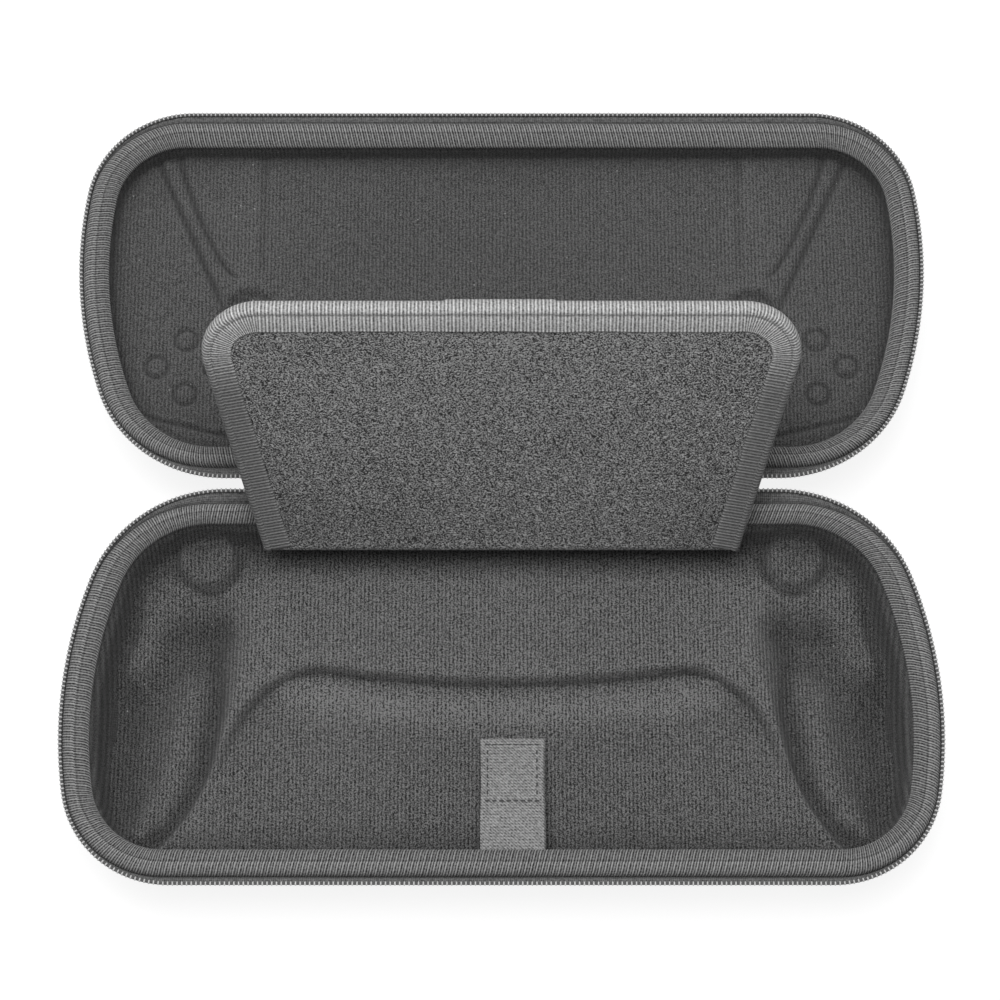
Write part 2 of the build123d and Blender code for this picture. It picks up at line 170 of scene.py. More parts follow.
def resample(run, values, stations):
    """Values of a dense curve at the given running lengths."""
    return np.stack([np.interp(stations, run, values[:, k]) for k in range(values.shape[1])], axis=1)


def dense_rim(grow=0.0, chain=False):
    """Whole outline from the middle of the rear, over +x, the front and -x: straights and six tangent arcs.
    A point of an arc is centre + radius * (cos a, sin a), and (cos a, sin a) is its outward normal."""
    r = rim_shape(grow, chain)
    a1 = np.linspace(-math.pi / 2, r["turn_rear"], 900)
    a2 = np.linspace(r["turn_rear"], r["turn_front"], 900)[1:]
    a3 = np.linspace(r["turn_front"], math.pi / 2, 900)[1:]
    turn = np.concatenate([[-math.pi / 2], a1, a2, a3, [math.pi / 2]])
    radius = np.concatenate([[0], a1 * 0 + r["rr"], a2 * 0 + r["rs"], a3 * 0 + r["rf"], [0]])
    cx = np.concatenate([[0], a1 * 0 + r["rear_x"], a2 * 0 + r["side_x"], a3 * 0 + r["front_x"], [0]])
    cs = np.concatenate([[r["rear"]], a1 * 0 + r["rear_s"], a2 * 0 + r["widest"], a3 * 0 + r["front_s"],
                         [r["front"]]])
    normals = np.stack([np.cos(turn), np.sin(turn)], axis=1)
    points = np.stack([cx, cs], axis=1) + radius[:, None] * normals
    flip = np.array([-1.0, 1.0])
    return np.concatenate([points, points[-2::-1] * flip]), np.concatenate([normals, normals[-2::-1] * flip])


def rim_ring(count):
    """Even points round the closed rim, the way in which each moves as the outline grows, and the lengths."""
    points = dense_rim()[0]
    way = (points - dense_rim(-5 * MM)[0]) / (5 * MM)
    run = running(points)
    stations = np.linspace(0.0, run[-1], count, endpoint=False)
    return resample(run, points, stations), resample(run, way, stations), np.append(stations, run[-1])


def chain_run(spacing, grow=0.0):
    """Points and outward normals along the open zip chain, from one zip end to the other."""
    points, normals = dense_rim(grow, chain=True)
    run = running(points)
    end = sizes().chain_end
    stations = np.linspace(end, run[-1] - end, int((run[-1] - 2 * end) / spacing))
    n = resample(run, normals, stations)
    return resample(run, points, stations), n / np.linalg.norm(n, axis=1, keepdims=True), stations - end


def half_width(s, inset):
    """Half width of the rim outline, moved inward by inset, at the distance s from the hinge line."""
    r = rim_shape(-inset)
    tie_rear = r["widest"] + r["rs"] * np.sin(r["turn_rear"])
    tie_front = r["widest"] + r["rs"] * np.sin(r["turn_front"])
    rear = r["rear_x"] + np.sqrt(np.clip(r["rr"] ** 2 - (s - r["rear_s"]) ** 2, 0, None))
    front = r["front_x"] + np.sqrt(np.clip(r["rf"] ** 2 - (s - r["front_s"]) ** 2, 0, None))
    side = r["side_x"] + np.sqrt(np.clip(r["rs"] ** 2 - (s - r["widest"]) ** 2, 0, None))
    return np.where(s < tie_rear, rear, np.where(s > tie_front, front, side))


def inside(x, s):
    """Inset of the nested rim outline on which a plan point lies, found by halving between 0 and 33 mm."""
    low, high = np.zeros_like(x), np.full_like(x, 33 * MM)
    for _ in range(18):
        mid = (low + high) / 2
        r = rim_shape(-mid)
        within = (s > r["rear"]) & (s < r["front"]) & (np.abs(x) < half_width(s, mid))
        low, high = np.where(within, mid, low), np.where(within, high, mid)
    return low


# Small formulas

def ease(t):
    """Smooth step from 0 to 1."""
    t = np.clip(t, 0.0, 1.0)
    return t * t * (3.0 - 2.0 * t)


def hump(v, width):
    """Bell of height 1 round 0."""
    return np.exp(-(v / width) ** 2)


def soft_min(a, b, k):
    """Smaller of two values with a rounding of width k between them."""
    h = np.clip(0.5 + 0.5 * (b - a) / k, 0.0, 1.0)
    return b * (1 - h) + a * h - k * h * (1 - h)


def soft_max(a, b, k):
    return -soft_min(-a, -b, k)


def soft_ramp(v, k):
    """Zero below, v above, rounded over k."""
    return k * np.logaddexp(0.0, v / k)


def ripple(u, period, seed, count=5):
    """Smooth repeating unevenness between about -1 and 1 along a closed length."""
    k = np.arange(1, count + 1)
    phase = np.modf(np.sin(k * 12.9898 + seed * 78.233) * 43758.5453)[0] * 2 * math.pi
    steps = k * 3 + np.round(seed * 5) % 4
    waves = np.sin(2 * math.pi * u[..., None] / period * steps + phase)
    return waves.sum(axis=-1) / count ** 0.5 / 1.4


# Meshes

def outward(verts, quads):
    """Signed volume of a closed mesh: positive when its faces point outward."""
    a, b, c, d = (verts[quads[:, k]] for k in range(4))
    tri = lambda p, q, r: np.einsum("ij,ij->i", p, np.cross(q, r)).sum()
    return tri(a, b, c) + tri(a, c, d)


def new_object(name, verts, quads, uv=None, smooth=True, caps=()):
    """Object at the origin with quads and optional end faces, its UV map in metres along the surface."""
    mesh = bpy.data.meshes.new(name)
    counts = [4] * len(quads) + [len(c) for c in caps]
    loops = np.concatenate([quads.ravel()] + [np.asarray(c) for c in caps]).astype(np.int32)
    starts = np.concatenate([[0], np.cumsum(counts)[:-1]]).astype(np.int32)
    mesh.vertices.add(len(verts))
    mesh.vertices.foreach_set("co", np.ascontiguousarray(verts, dtype=np.float32).ravel())
    mesh.loops.add(len(loops))
    mesh.loops.foreach_set("vertex_index", loops)
    mesh.polygons.add(len(counts))
    mesh.polygons.foreach_set("loop_start", starts)
    mesh.polygons.foreach_set("use_smooth", np.full(len(counts), smooth))
    if uv is not None:
        plan = np.asarray(verts)[loops[len(uv):], :2]
        layer = mesh.uv_layers.new(name="Along")
        layer.data.foreach_set("uv", np.concatenate([uv, plan]).astype(np.float32).ravel())
    mesh.update(calc_edges=True)
    mesh.validate()
    obj = bpy.data.objects.new(name, mesh)
    bpy.context.scene.collection.objects.link(obj)
    return obj


def surface(name, pts, close_u=False, close_v=False, run_u=None, run_v=None, up=None, ends=False):
    """Grid surface: pts[i, j] is the point at the i-th step along and the j-th step across.
    Closed surfaces turn outward by their volume, open ones so that their mean normal follows up."""
    n, m = pts.shape[:2]
    i = np.arange(n if close_u else n - 1)
    j = np.arange(m if close_v else m - 1)
    i2, j2 = (i + 1) % n, (j + 1) % m
    low, high = i[:, None] * m, i2[:, None] * m
    quads = np.stack([low + j, high + j, high + j2, low + j2], axis=-1).reshape(-1, 4)
    verts = pts.reshape(-1, 3)
    if run_u is None:
        run_u = np.arange(n + 1) * MM
    if run_v is None:
        run_v = np.concatenate([[0.0], np.cumsum(np.linalg.norm(np.diff(pts[n // 2], axis=0), axis=1))])
    run_u = np.append(run_u, run_u[-1]) if len(run_u) < n + 1 else run_u
    run_v = np.append(run_v, run_v[-1] + MM) if len(run_v) < m + 1 else run_v
    ii, jj = np.broadcast_arrays(i[:, None], j[None, :])
    uv = np.stack([np.stack([run_u[ii + a], run_v[jj + b]], axis=-1)
                   for a, b in ((0, 0), (1, 0), (1, 1), (0, 1))], axis=2).reshape(-1, 2)
    caps = []
    if ends and close_v:
        caps = [np.arange(m), np.arange(m)[::-1] + (n - 1) * m]
    if ends and close_u:
        caps = [np.arange(n)[::-1] * m, np.arange(n) * m + m - 1]
    if up is None:
        turn = outward(verts - verts.mean(axis=0), quads) < 0
    else:
        a, b, d = (verts[quads[:, k]] for k in (0, 1, 3))
        turn = float(np.cross(b - a, d - a).sum(axis=0) @ np.asarray(up)) < 0
    if turn:
        quads = quads[:, ::-1]
        uv = uv.reshape(-1, 4, 2)[:, ::-1].reshape(-1, 2)
        caps = [c[::-1] for c in caps]
    return new_object(name, verts, quads, uv, True, caps)


def set_painted_light(obj, tone):
    """Painted light and painted shade of a cloth at each point, kept on the mesh for its material."""
    layer = obj.data.attributes.new("PaintedLight", "FLOAT", "POINT")
    layer.data.foreach_set("value", np.ascontiguousarray(tone, dtype=np.float32).ravel())
    return obj


def copies(name, verts, faces, places, axes):
    """Many small copies of one shape: vertex = place + x * axis1 + y * axis2 + z * axis3."""
    pts = places[:, None, :] + np.einsum("vk,ckd->cvd", verts, axes)
    quads = faces[None, :, :] + (np.arange(len(places)) * len(verts))[:, None, None]
    return new_object(name, pts.reshape(-1, 3), quads.reshape(-1, 4))


def bead(long, wide, high, around=6):
    """Rounded grain: rings of an ellipse along the first axis, radius sqrt(1 - t^2) flattened, ends closed."""
    t = np.array([-0.98, -0.72, 0.72, 0.98])
    scale = np.sqrt(1 - t ** 2) ** 0.7
    a = np.linspace(0, 2 * math.pi, around, endpoint=False)
    pts = np.stack(np.broadcast_arrays(t[:, None] * long / 2, scale[:, None] * np.cos(a) * wide / 2,
                                       scale[:, None] * np.sin(a) * high / 2), axis=-1)
    n, m = pts.shape[:2]
    i, j = np.arange(n - 1)[:, None], np.arange(m)[None, :]
    quads = np.stack([i * m + j, (i + 1) * m + j, (i + 1) * m + (j + 1) % m, i * m + (j + 1) % m], axis=-1)
    quads = quads.reshape(-1, 4)
    verts = pts.reshape(-1, 3)
    q = np.arange(m // 2 - 1)
    close = np.stack([q, q + 1, m - 2 - q, m - 1 - q], axis=-1)
    quads = np.concatenate([quads, close, close[:, ::-1] + (n - 1) * m])
    return verts, quads if outward(verts, quads) > 0 else quads[:, ::-1]


def sweep(curve, profile, side):
    """Profile of (outward distance, height) carried round a plan curve: point = p + way * out, height."""
    p, n = curve
    out, high = profile[..., 0], profile[..., 1]
    xy = p[:, None, :] + n[:, None, :] * (out[..., None] if out.ndim == 2 else out[None, :, None])
    z = np.broadcast_to(high if high.ndim == 2 else high[None, :], xy.shape[:2])
    return np.stack([xy[..., 0], side * xy[..., 1], z], axis=-1)


def finish_piece(obj, material, body, nodes=()):
    """Material, body and replaced solids of a piece."""
    obj.data.materials.clear()
    obj.data.materials.append(material)
    if body:
        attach(obj, body)
    if nodes:
        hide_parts(*nodes)
    return obj


def thicken(obj, thick):
    """Back of a sheet, under its face."""
    mod = obj.modifiers.new("Thickness", "SOLIDIFY")
    mod.thickness = thick
    mod.offset = -1.0
    return obj


# Shader groups and materials

def value_group(name, inputs, outputs):
    """Empty node group with named sockets."""
    tree = bpy.data.node_groups.new(name, "ShaderNodeTree")
    for label, kind, default in inputs:
        sock = tree.interface.new_socket(label, in_out="INPUT", socket_type=kind)
        if default is not None:
            sock.default_value = default
    for label, kind in outputs:
        tree.interface.new_socket(label, in_out="OUTPUT", socket_type=kind)
    return tree, tree.nodes.new("NodeGroupInput"), tree.nodes.new("NodeGroupOutput")


def math_node(tree, operation, a, b=None, c=None):
    """Math node: links sockets, sets numbers."""
    node = tree.nodes.new("ShaderNodeMath")
    node.operation = operation
    for k, v in enumerate((a, b, c)):
        if isinstance(v, bpy.types.NodeSocket):
            tree.links.new(v, node.inputs[k])
        elif v is not None:
            node.inputs[k].default_value = v
    return node.outputs[0]


def noise_node(tree, place, scale, detail, roughness=0.5):
    """Noise value; scale is a number or a socket."""
    node = tree.nodes.new("ShaderNodeTexNoise")
    node.inputs["Detail"].default_value = detail
    node.inputs["Roughness"].default_value = roughness
    tree.links.new(place, node.inputs["Vector"])
    if isinstance(scale, bpy.types.NodeSocket):
        tree.links.new(scale, node.inputs["Scale"])
    else:
        node.inputs["Scale"].default_value = scale
    return node.outputs[0]


def rib_group():
    """Ribs: height = raised sine of (along / pitch + shake * noise); every second rib is lower by Second."""
    if "Ribs" in bpy.data.node_groups:
        return bpy.data.node_groups["Ribs"]
    f, v = "NodeSocketFloat", "NodeSocketVector"
    tree, gin, gout = value_group("Ribs", [("Along", f, 0.0), ("Pitch", f, 0.001), ("Shake", f, 0.25),
                                           ("Second", f, 0.0), ("Place", v, None)], [("Height", f)])
    count = math_node(tree, "DIVIDE", gin.outputs["Along"], gin.outputs["Pitch"])
    noise = noise_node(tree, gin.outputs["Place"], 240.0, 2.0)
    shaken = math_node(tree, "MULTIPLY_ADD", noise, gin.outputs["Shake"], count)
    phase = math_node(tree, "MULTIPLY", shaken, 2 * math.pi)
    wave = math_node(tree, "MULTIPLY_ADD", math_node(tree, "SINE", phase), 0.5, 0.5)
    half = math_node(tree, "SINE", math_node(tree, "MULTIPLY", phase, 0.5))
    slow = math_node(tree, "MULTIPLY_ADD", half, 0.5, 0.5)
    keep = math_node(tree, "SUBTRACT", 1.0, math_node(tree, "MULTIPLY", slow, gin.outputs["Second"]))
    tree.links.new(math_node(tree, "MULTIPLY", wave, keep), gout.inputs["Height"])
    return tree


def fibre_group():
    """Fibres: fine speckle and slow fading between 0 and 1, and a mask of stray lint."""
    if "Fibres" in bpy.data.node_groups:
        return bpy.data.node_groups["Fibres"]
    f, v = "NodeSocketFloat", "NodeSocketVector"
    tree, gin, gout = value_group("Fibres", [("Place", v, None), ("Grain", f, 900.0), ("Fade", f, 22.0)],
                                  [("Speckle", f), ("Slow", f), ("Lint", f)])
    turned = tree.nodes.new("ShaderNodeVectorRotate")
    turned.rotation_type = "EULER_XYZ"
    turned.inputs["Rotation"].default_value = (0.5, 0.35, 0.2)
    tree.links.new(gin.outputs["Place"], turned.inputs["Vector"])
    place = turned.outputs["Vector"]
    spread = tree.nodes.new("ShaderNodeMapRange")
    spread.inputs["From Min"].default_value = 0.34
    spread.inputs["From Max"].default_value = 0.66
    tree.links.new(noise_node(tree, place, gin.outputs["Grain"], 1.5), spread.inputs["Value"])
    tree.links.new(spread.outputs["Result"], gout.inputs["Speckle"])
    tree.links.new(noise_node(tree, place, gin.outputs["Fade"], 2.0), gout.inputs["Slow"])
    cells = tree.nodes.new("ShaderNodeTexVoronoi")
    cells.inputs["Scale"].default_value = 260.0
    tree.links.new(place, cells.inputs["Vector"])
    near = math_node(tree, "LESS_THAN", cells.outputs["Distance"], 0.075)
    few = math_node(tree, "GREATER_THAN", cells.outputs["Color"], 0.74)
    tree.links.new(math_node(tree, "MULTIPLY", near, few), gout.inputs["Lint"])
    return tree


def line_group():
    """Line: 1 along the line where Across equals At, falling to 0 at the half width Width."""
    if "Line" in bpy.data.node_groups:
        return bpy.data.node_groups["Line"]
    f = "NodeSocketFloat"
    tree, gin, gout = value_group("Line", [("Across", f, 0.0), ("At", f, 0.0), ("Width", f, 0.001)],
                                  [("Mask", f)])
    far = math_node(tree, "ABSOLUTE", math_node(tree, "SUBTRACT", gin.outputs["Across"], gin.outputs["At"]))
    share = math_node(tree, "SUBTRACT", 1.0, math_node(tree, "DIVIDE", far, gin.outputs["Width"]))
    tree.links.new(math_node(tree, "MAXIMUM", share, 0.0), gout.inputs["Mask"])
    return tree


def cloth_tree(name, roughness, sheen, grain):
    """Material with a Principled shader, object coordinates and the fibre group placed in it."""
    mat = bpy.data.materials.new(name)
    mat.use_nodes = True
    tree = mat.node_tree
    shader = tree.nodes["Principled BSDF"]
    shader.inputs["Roughness"].default_value = roughness
    shader.inputs["Specular IOR Level"].default_value = 0.2
    shader.inputs["Sheen Weight"].default_value = sheen
    shader.inputs["Sheen Roughness"].default_value = 0.6
    coords = tree.nodes.new("ShaderNodeTexCoord")
    fibres = tree.nodes.new("ShaderNodeGroup")
    fibres.node_tree = fibre_group()
    fibres.inputs["Grain"].default_value = grain
    tree.links.new(coords.outputs["Object"], fibres.inputs["Place"])
    return mat, tree, shader, coords, fibres


def ribs_at(tree, coords, along, pitch, shake, second=0.0):
    """Height of one row of ribs."""
    ribs = tree.nodes.new("ShaderNodeGroup")
    ribs.node_tree = rib_group()
    ribs.inputs["Pitch"].default_value = pitch
    ribs.inputs["Shake"].default_value = shake
    ribs.inputs["Second"].default_value = second
    tree.links.new(coords.outputs["Object"], ribs.inputs["Place"])
    tree.links.new(along, ribs.inputs["Along"])
    return ribs.outputs["Height"]


def line_at(tree, across, at, width):
    """Mask of one line along a tape."""
    line = tree.nodes.new("ShaderNodeGroup")
    line.node_tree = line_group()
    line.inputs["At"].default_value = at
    line.inputs["Width"].default_value = width
    tree.links.new(across, line.inputs["Across"])
    return line.outputs["Mask"]


def painted_light_of(tree):
    """Painted light and painted shade kept on the mesh."""
    node = tree.nodes.new("ShaderNodeAttribute")
    node.attribute_name = "PaintedLight"
    return node.outputs["Fac"]


def split_of(tree, socket):
    """X, Y and Z of a vector."""
    node = tree.nodes.new("ShaderNodeSeparateXYZ")
    tree.links.new(socket, node.inputs[0])
    return node.outputs


def weigh(tree, *terms):
    """Sum of (socket, weight) terms."""
    total = math_node(tree, "MULTIPLY", terms[0][0], terms[0][1])
    for socket, weight in terms[1:]:
        total = math_node(tree, "MULTIPLY_ADD", socket, weight, total)
    return total


def shade_mix(tree, shader, colour, factor, dark, light, lint=None):
    """Base colour between a darker and a lighter tone of one cloth, by a factor, with pale lint on top."""
    ramp = tree.nodes.new("ShaderNodeMix")
    ramp.data_type = "RGBA"
    ramp.inputs[6].default_value = [c * dark for c in colour] + [1.0]
    ramp.inputs[7].default_value = [min(1.0, c * light) for c in colour] + [1.0]
    tree.links.new(factor, ramp.inputs[0])
    out = ramp.outputs[2]
    if lint is not None:
        fleck = tree.nodes.new("ShaderNodeMix")
        fleck.data_type = "RGBA"
        fleck.inputs[7].default_value = (0.42, 0.42, 0.42, 1.0)
        tree.links.new(math_node(tree, "MULTIPLY", lint, 0.7), fleck.inputs[0])
        tree.links.new(out, fleck.inputs[6])
        out = fleck.outputs[2]
    tree.links.new(out, shader.inputs["Base Color"])


def relief(tree, shader, height, depth):
    """Bump of the given depth, in metres."""
    bump = tree.nodes.new("ShaderNodeBump")
    bump.inputs["Strength"].default_value = 1.0
    bump.inputs["Distance"].default_value = depth
    tree.links.new(height, bump.inputs["Height"])
    tree.links.new(bump.outputs["Normal"], shader.inputs["Normal"])


def knit_material(name, shade, dark, light):
    """Ribbed knit: ribs along the depth of the case, loops along each rib, heathered fibres and lint.
    Its colour is scaled by the painted light kept on its points: painted shade in hollows, creases and deep
    places, painted highlight on ridges."""
    mat, tree, shader, coords, fibres = cloth_tree(name, 0.95, 0.10, 2050.0)
    fibres.inputs["Fade"].default_value = 13.0
    xyz = split_of(tree, coords.outputs["Object"])
    wale = ribs_at(tree, coords, xyz[0], sizes().knit_pitch, 0.25)
    course = ribs_at(tree, coords, xyz[1], sizes().knit_pitch * 0.8, 0.9)
    speckle, slow = fibres.outputs["Speckle"], fibres.outputs["Slow"]
    mixed = weigh(tree, (speckle, 0.95), (wale, 0.38), (course, 0.05), (slow, 0.20))
    mixed = math_node(tree, "MAXIMUM", math_node(tree, "ADD", mixed, -0.30), 0.03)
    # Painted shade and painted highlight kept on the points scale the knit's colour.
    mixed = math_node(tree, "MULTIPLY", mixed, painted_light_of(tree))
    colour = [c * shade for c in colours().lining]
    shade_mix(tree, shader, colour, mixed, dark, light, fibres.outputs["Lint"])
    relief(tree, shader, weigh(tree, (wale, 1.0), (speckle, 0.8)), 0.00030)
    return mat


def felt_material(name, toned):
    """Napped felt: coarse grains with darker gaps, and lint; scaled by the painted light kept on its points,
    or plain at 0.75.
    """
    mat, tree, shader, coords, fibres = cloth_tree(name, 1.0, 0.15, 1750.0)
    grains = noise_node(tree, coords.outputs["Object"], 1900.0, 1.0)
    speckle, slow = fibres.outputs["Speckle"], fibres.outputs["Slow"]
    mixed = weigh(tree, (speckle, 1.25), (grains, 0.30), (slow, 0.24))
    mixed = math_node(tree, "MAXIMUM", math_node(tree, "ADD", mixed, -0.42), 0.03)
    # Painted light: the felt's colour is scaled by the painted shade and painted highlight kept on its points,
    # or by 0.75 when plain.
    mixed = math_node(tree, "MULTIPLY", mixed, painted_light_of(tree) if toned else 0.75)
    shade_mix(tree, shader, colours().felt, mixed, 0.0, 2.1, fibres.outputs["Lint"])
    relief(tree, shader, mixed, 0.0005)
    return mat


def rim_tape_material():
    """Rim binding: slanted ribs, every second one stronger. V is 0 at the edge of the upper layer: that edge
    is pale, a dark line lies beside it, the inner part is darker, and its own edge is pale again."""
    mat, tree, shader, coords, fibres = cloth_tree("Rim tape", 0.9, 0.1, 1500.0)
    u, v = split_of(tree, coords.outputs["UV"])[:2]
    along = math_node(tree, "MULTIPLY_ADD", v, 0.22, u)
    rib = ribs_at(tree, coords, along, sizes().rib_pitch, 0.12, 0.55)
    fine = ribs_at(tree, coords, v, 0.0011, 0.4)
    tone = weigh(tree, (rib, 0.90), (fibres.outputs["Speckle"], 0.26), (fine, 0.06))
    tone = math_node(tree, "MULTIPLY_ADD", tone, 1.1, -0.08)
    inner = math_node(tree, "GREATER_THAN", v, 0.0002)
    tone = math_node(tree, "MULTIPLY", tone, math_node(tree, "MULTIPLY_ADD", inner, -0.16, 1.0))
    for at, width, gain in ((-0.0003, 0.0006, 0.75), (0.0058, 0.0012, 0.8)):
        line = math_node(tree, "MULTIPLY", line_at(tree, v, at, width), rib)
        tone = math_node(tree, "MULTIPLY_ADD", line, gain, tone)
    dark = line_at(tree, v, 0.00055, 0.0006)
    tone = math_node(tree, "MULTIPLY", tone, math_node(tree, "MULTIPLY_ADD", dark, -0.3, 1.0))
    shade_mix(tree, shader, colours().binding, tone, 0.0, 2.95)
    relief(tree, shader, weigh(tree, (rib, 1.0), (fibres.outputs["Speckle"], 0.25)), 0.00028)
    return mat


def flap_tape_material():
    """Flap binding: broad ribs across the tape, a sewn line beside the fold, and the painted light of its
    points: painted lighter along the upward-facing free edge, where the value is 1, and darker at the sides.
    """
    mat, tree, shader, coords, fibres = cloth_tree("Flap tape", 0.85, 0.1, 1500.0)
    u, v = split_of(tree, coords.outputs["UV"])[:2]
    rib = ribs_at(tree, coords, u, sizes().flap_rib, 0.14, 0.45)
    tone = weigh(tree, (rib, 0.70), (fibres.outputs["Speckle"], 0.28))
    dark = line_at(tree, v, 0.0066, 0.0005)
    tone = math_node(tree, "MULTIPLY", tone, math_node(tree, "MULTIPLY_ADD", dark, -0.15, 1.0))
    hem = math_node(tree, "MULTIPLY", line_at(tree, v, 0.0006, 0.0009), rib)
    tone = math_node(tree, "MULTIPLY_ADD", hem, 0.4, tone)
    # Painted light kept on the points: lighter along the free edge, painted shade down the sides.
    tone = math_node(tree, "MULTIPLY", tone, painted_light_of(tree))
    shade_mix(tree, shader, colours().flap_tape, tone, 0.14, 2.6)
    relief(tree, shader, weigh(tree, (rib, 1.0), (fibres.outputs["Speckle"], 0.2)), 0.0003)
    return mat


def woven_material(name, colour, pitch, slant=0.0, dark=0.4, light=1.6):
    """Plain or twill weave on the UV map: two crossing ribs, the second shifted by slant times the first."""
    mat, tree, shader, coords, fibres = cloth_tree(name, 0.85, 0.1, 1300.0)
    u, v = split_of(tree, coords.outputs["UV"])[:2]
    across = math_node(tree, "MULTIPLY_ADD", u, slant, v)
    first = ribs_at(tree, coords, u, pitch, 0.2)
    second = ribs_at(tree, coords, across, pitch, 0.2)
    weave = weigh(tree, (first, 0.4 if slant else 0.5), (second, 0.6 if slant else 0.5))
    mixed = weigh(tree, (fibres.outputs["Speckle"], 0.4), (weave, 0.5), (fibres.outputs["Slow"], 0.15))
    shade_mix(tree, shader, colour, mixed, dark, light)
    relief(tree, shader, weave, 0.00025)
    return mat


def moulded_material(name, colour, roughness):
    """Moulded or painted fitting: fine grain in colour and gloss, worn by slow noise."""
    mat, tree, shader, coords, fibres = cloth_tree(name, roughness, 0.0, 2500.0)
    shader.inputs["Specular IOR Level"].default_value = 0.5
    speckle, slow = fibres.outputs["Speckle"], fibres.outputs["Slow"]
    shade_mix(tree, shader, colour, weigh(tree, (slow, 0.6), (speckle, 0.3)), 0.7, 1.35)
    tree.links.new(math_node(tree, "MULTIPLY_ADD", slow, 0.25, roughness - 0.1), shader.inputs["Roughness"])
    relief(tree, shader, speckle, 0.00005)
    return mat


def material(name):
    """A finish by name, made once."""
    if name in bpy.data.materials:
        return bpy.data.materials[name]
    c = colours()
    makers = {
        "Tray knit": lambda: knit_material("Tray knit", 1.0, 0.0, 2.1),
        "Lid knit": lambda: knit_material("Lid knit", 0.84, 0.22, 1.65),
        "Felt": lambda: felt_material("Felt", True),
        "Pile": lambda: felt_material("Pile", False),
        "Rim tape": rim_tape_material,
        "Flap tape": flap_tape_material,
        "Zip tape": lambda: woven_material("Zip tape", c.tape, 0.0007, dark=0.1, light=2.0),
        "Strap twill": lambda: woven_material("Strap twill", c.strap, 0.0012, -1.0, dark=0.0, light=2.3),
        "Outer cloth": lambda: woven_material("Outer cloth", c.outer, 0.0009, dark=0.2, light=1.8),
        "Zip teeth": lambda: moulded_material("Zip teeth", c.tooth, 0.4),
        "Zip cord": lambda: moulded_material("Zip cord", c.cord, 0.8),
        "Slider paint": lambda: moulded_material("Slider paint", c.metal, 0.35),
        "Thread": lambda: moulded_material("Thread", c.thread, 0.8),
        "Flap thread": lambda: moulded_material("Flap thread", c.flap_thread, 0.8),
    }
    return makers[name]()


# Depth maps of the two moulded linings, in millimetres below the rim

def tray_depth(x, s):
    """Depth of the base tray. The platform is 20 deep. The space in front of the arch falls 6 more behind a
    lip, the grip wells fall to 31 in a slanting valley beside a swollen back, two bosses rise by the rear
    wall, and the wall rises steeply with a rounded foot."""
    d = inside(x, s) / MM
    x, s = np.abs(x) / MM, s / MM
    arch = s - (65.2 - 0.00114 * x ** 2)
    flank = 102.5 - 21.0 * np.exp(-np.clip(s - 66.9, -20, None) / 15.5) + 0.55 * soft_ramp(s - 96.0, 4.0) - x
    step = soft_min(arch, 0.8 * flank, 9.0)
    front = 20.0 + 4.2 * ease((step + 0.2) / 2.8) + 1.8 * (1.0 - np.exp(-soft_ramp(step - 0.6, 0.4) / 3.6))
    front = front - 0.25 * hump(step + 1.2, 1.1)
    edge = 89.0 + 0.19 * np.clip(s - 48.0, 0, None) + 0.012 * np.clip(s - 95.0, 0, None) ** 2
    out = x - edge
    wide = 6.0 + 9.0 * ease((82.0 - s) / 30.0)
    fall = 11.2 * ease((out + 0.3 * (wide - 6.0)) / wide)
    fall = fall - 4.3 * hump(out - 16.0, 7.0) * ease((s - 56.0) / 16.0)
    fall = fall + 3.0 * hump(x - 131.0, 9.0) * hump(s - 80.0, 13.0)
    fall = fall - 5.0 * hump(x - 124.0 - 0.36 * (s - 45.0), 8.0) * ease((72.0 - s) / 16.0)
    well = 20.0 + ease((s - 28.0) / 22.0) * fall
    depth = soft_max(front, well, 1.6)
    r = np.hypot(x - 104.5, s - 22.3)
    share = ease((11.8 - r) / 3.6)
    depth = depth * (1 - share) + np.minimum(15.2 + 0.08 * np.clip(s - 12.0, 0, None), depth) * share
    depth = depth + 0.7 * hump(r - 12.4, 1.0) * ease((s - 19.0) / 6.0) * ease((112.0 - x) / 8.0)
    wall = 3.0 + (d - 8.35) * 7.0
    return soft_min(depth, wall, 12.0)


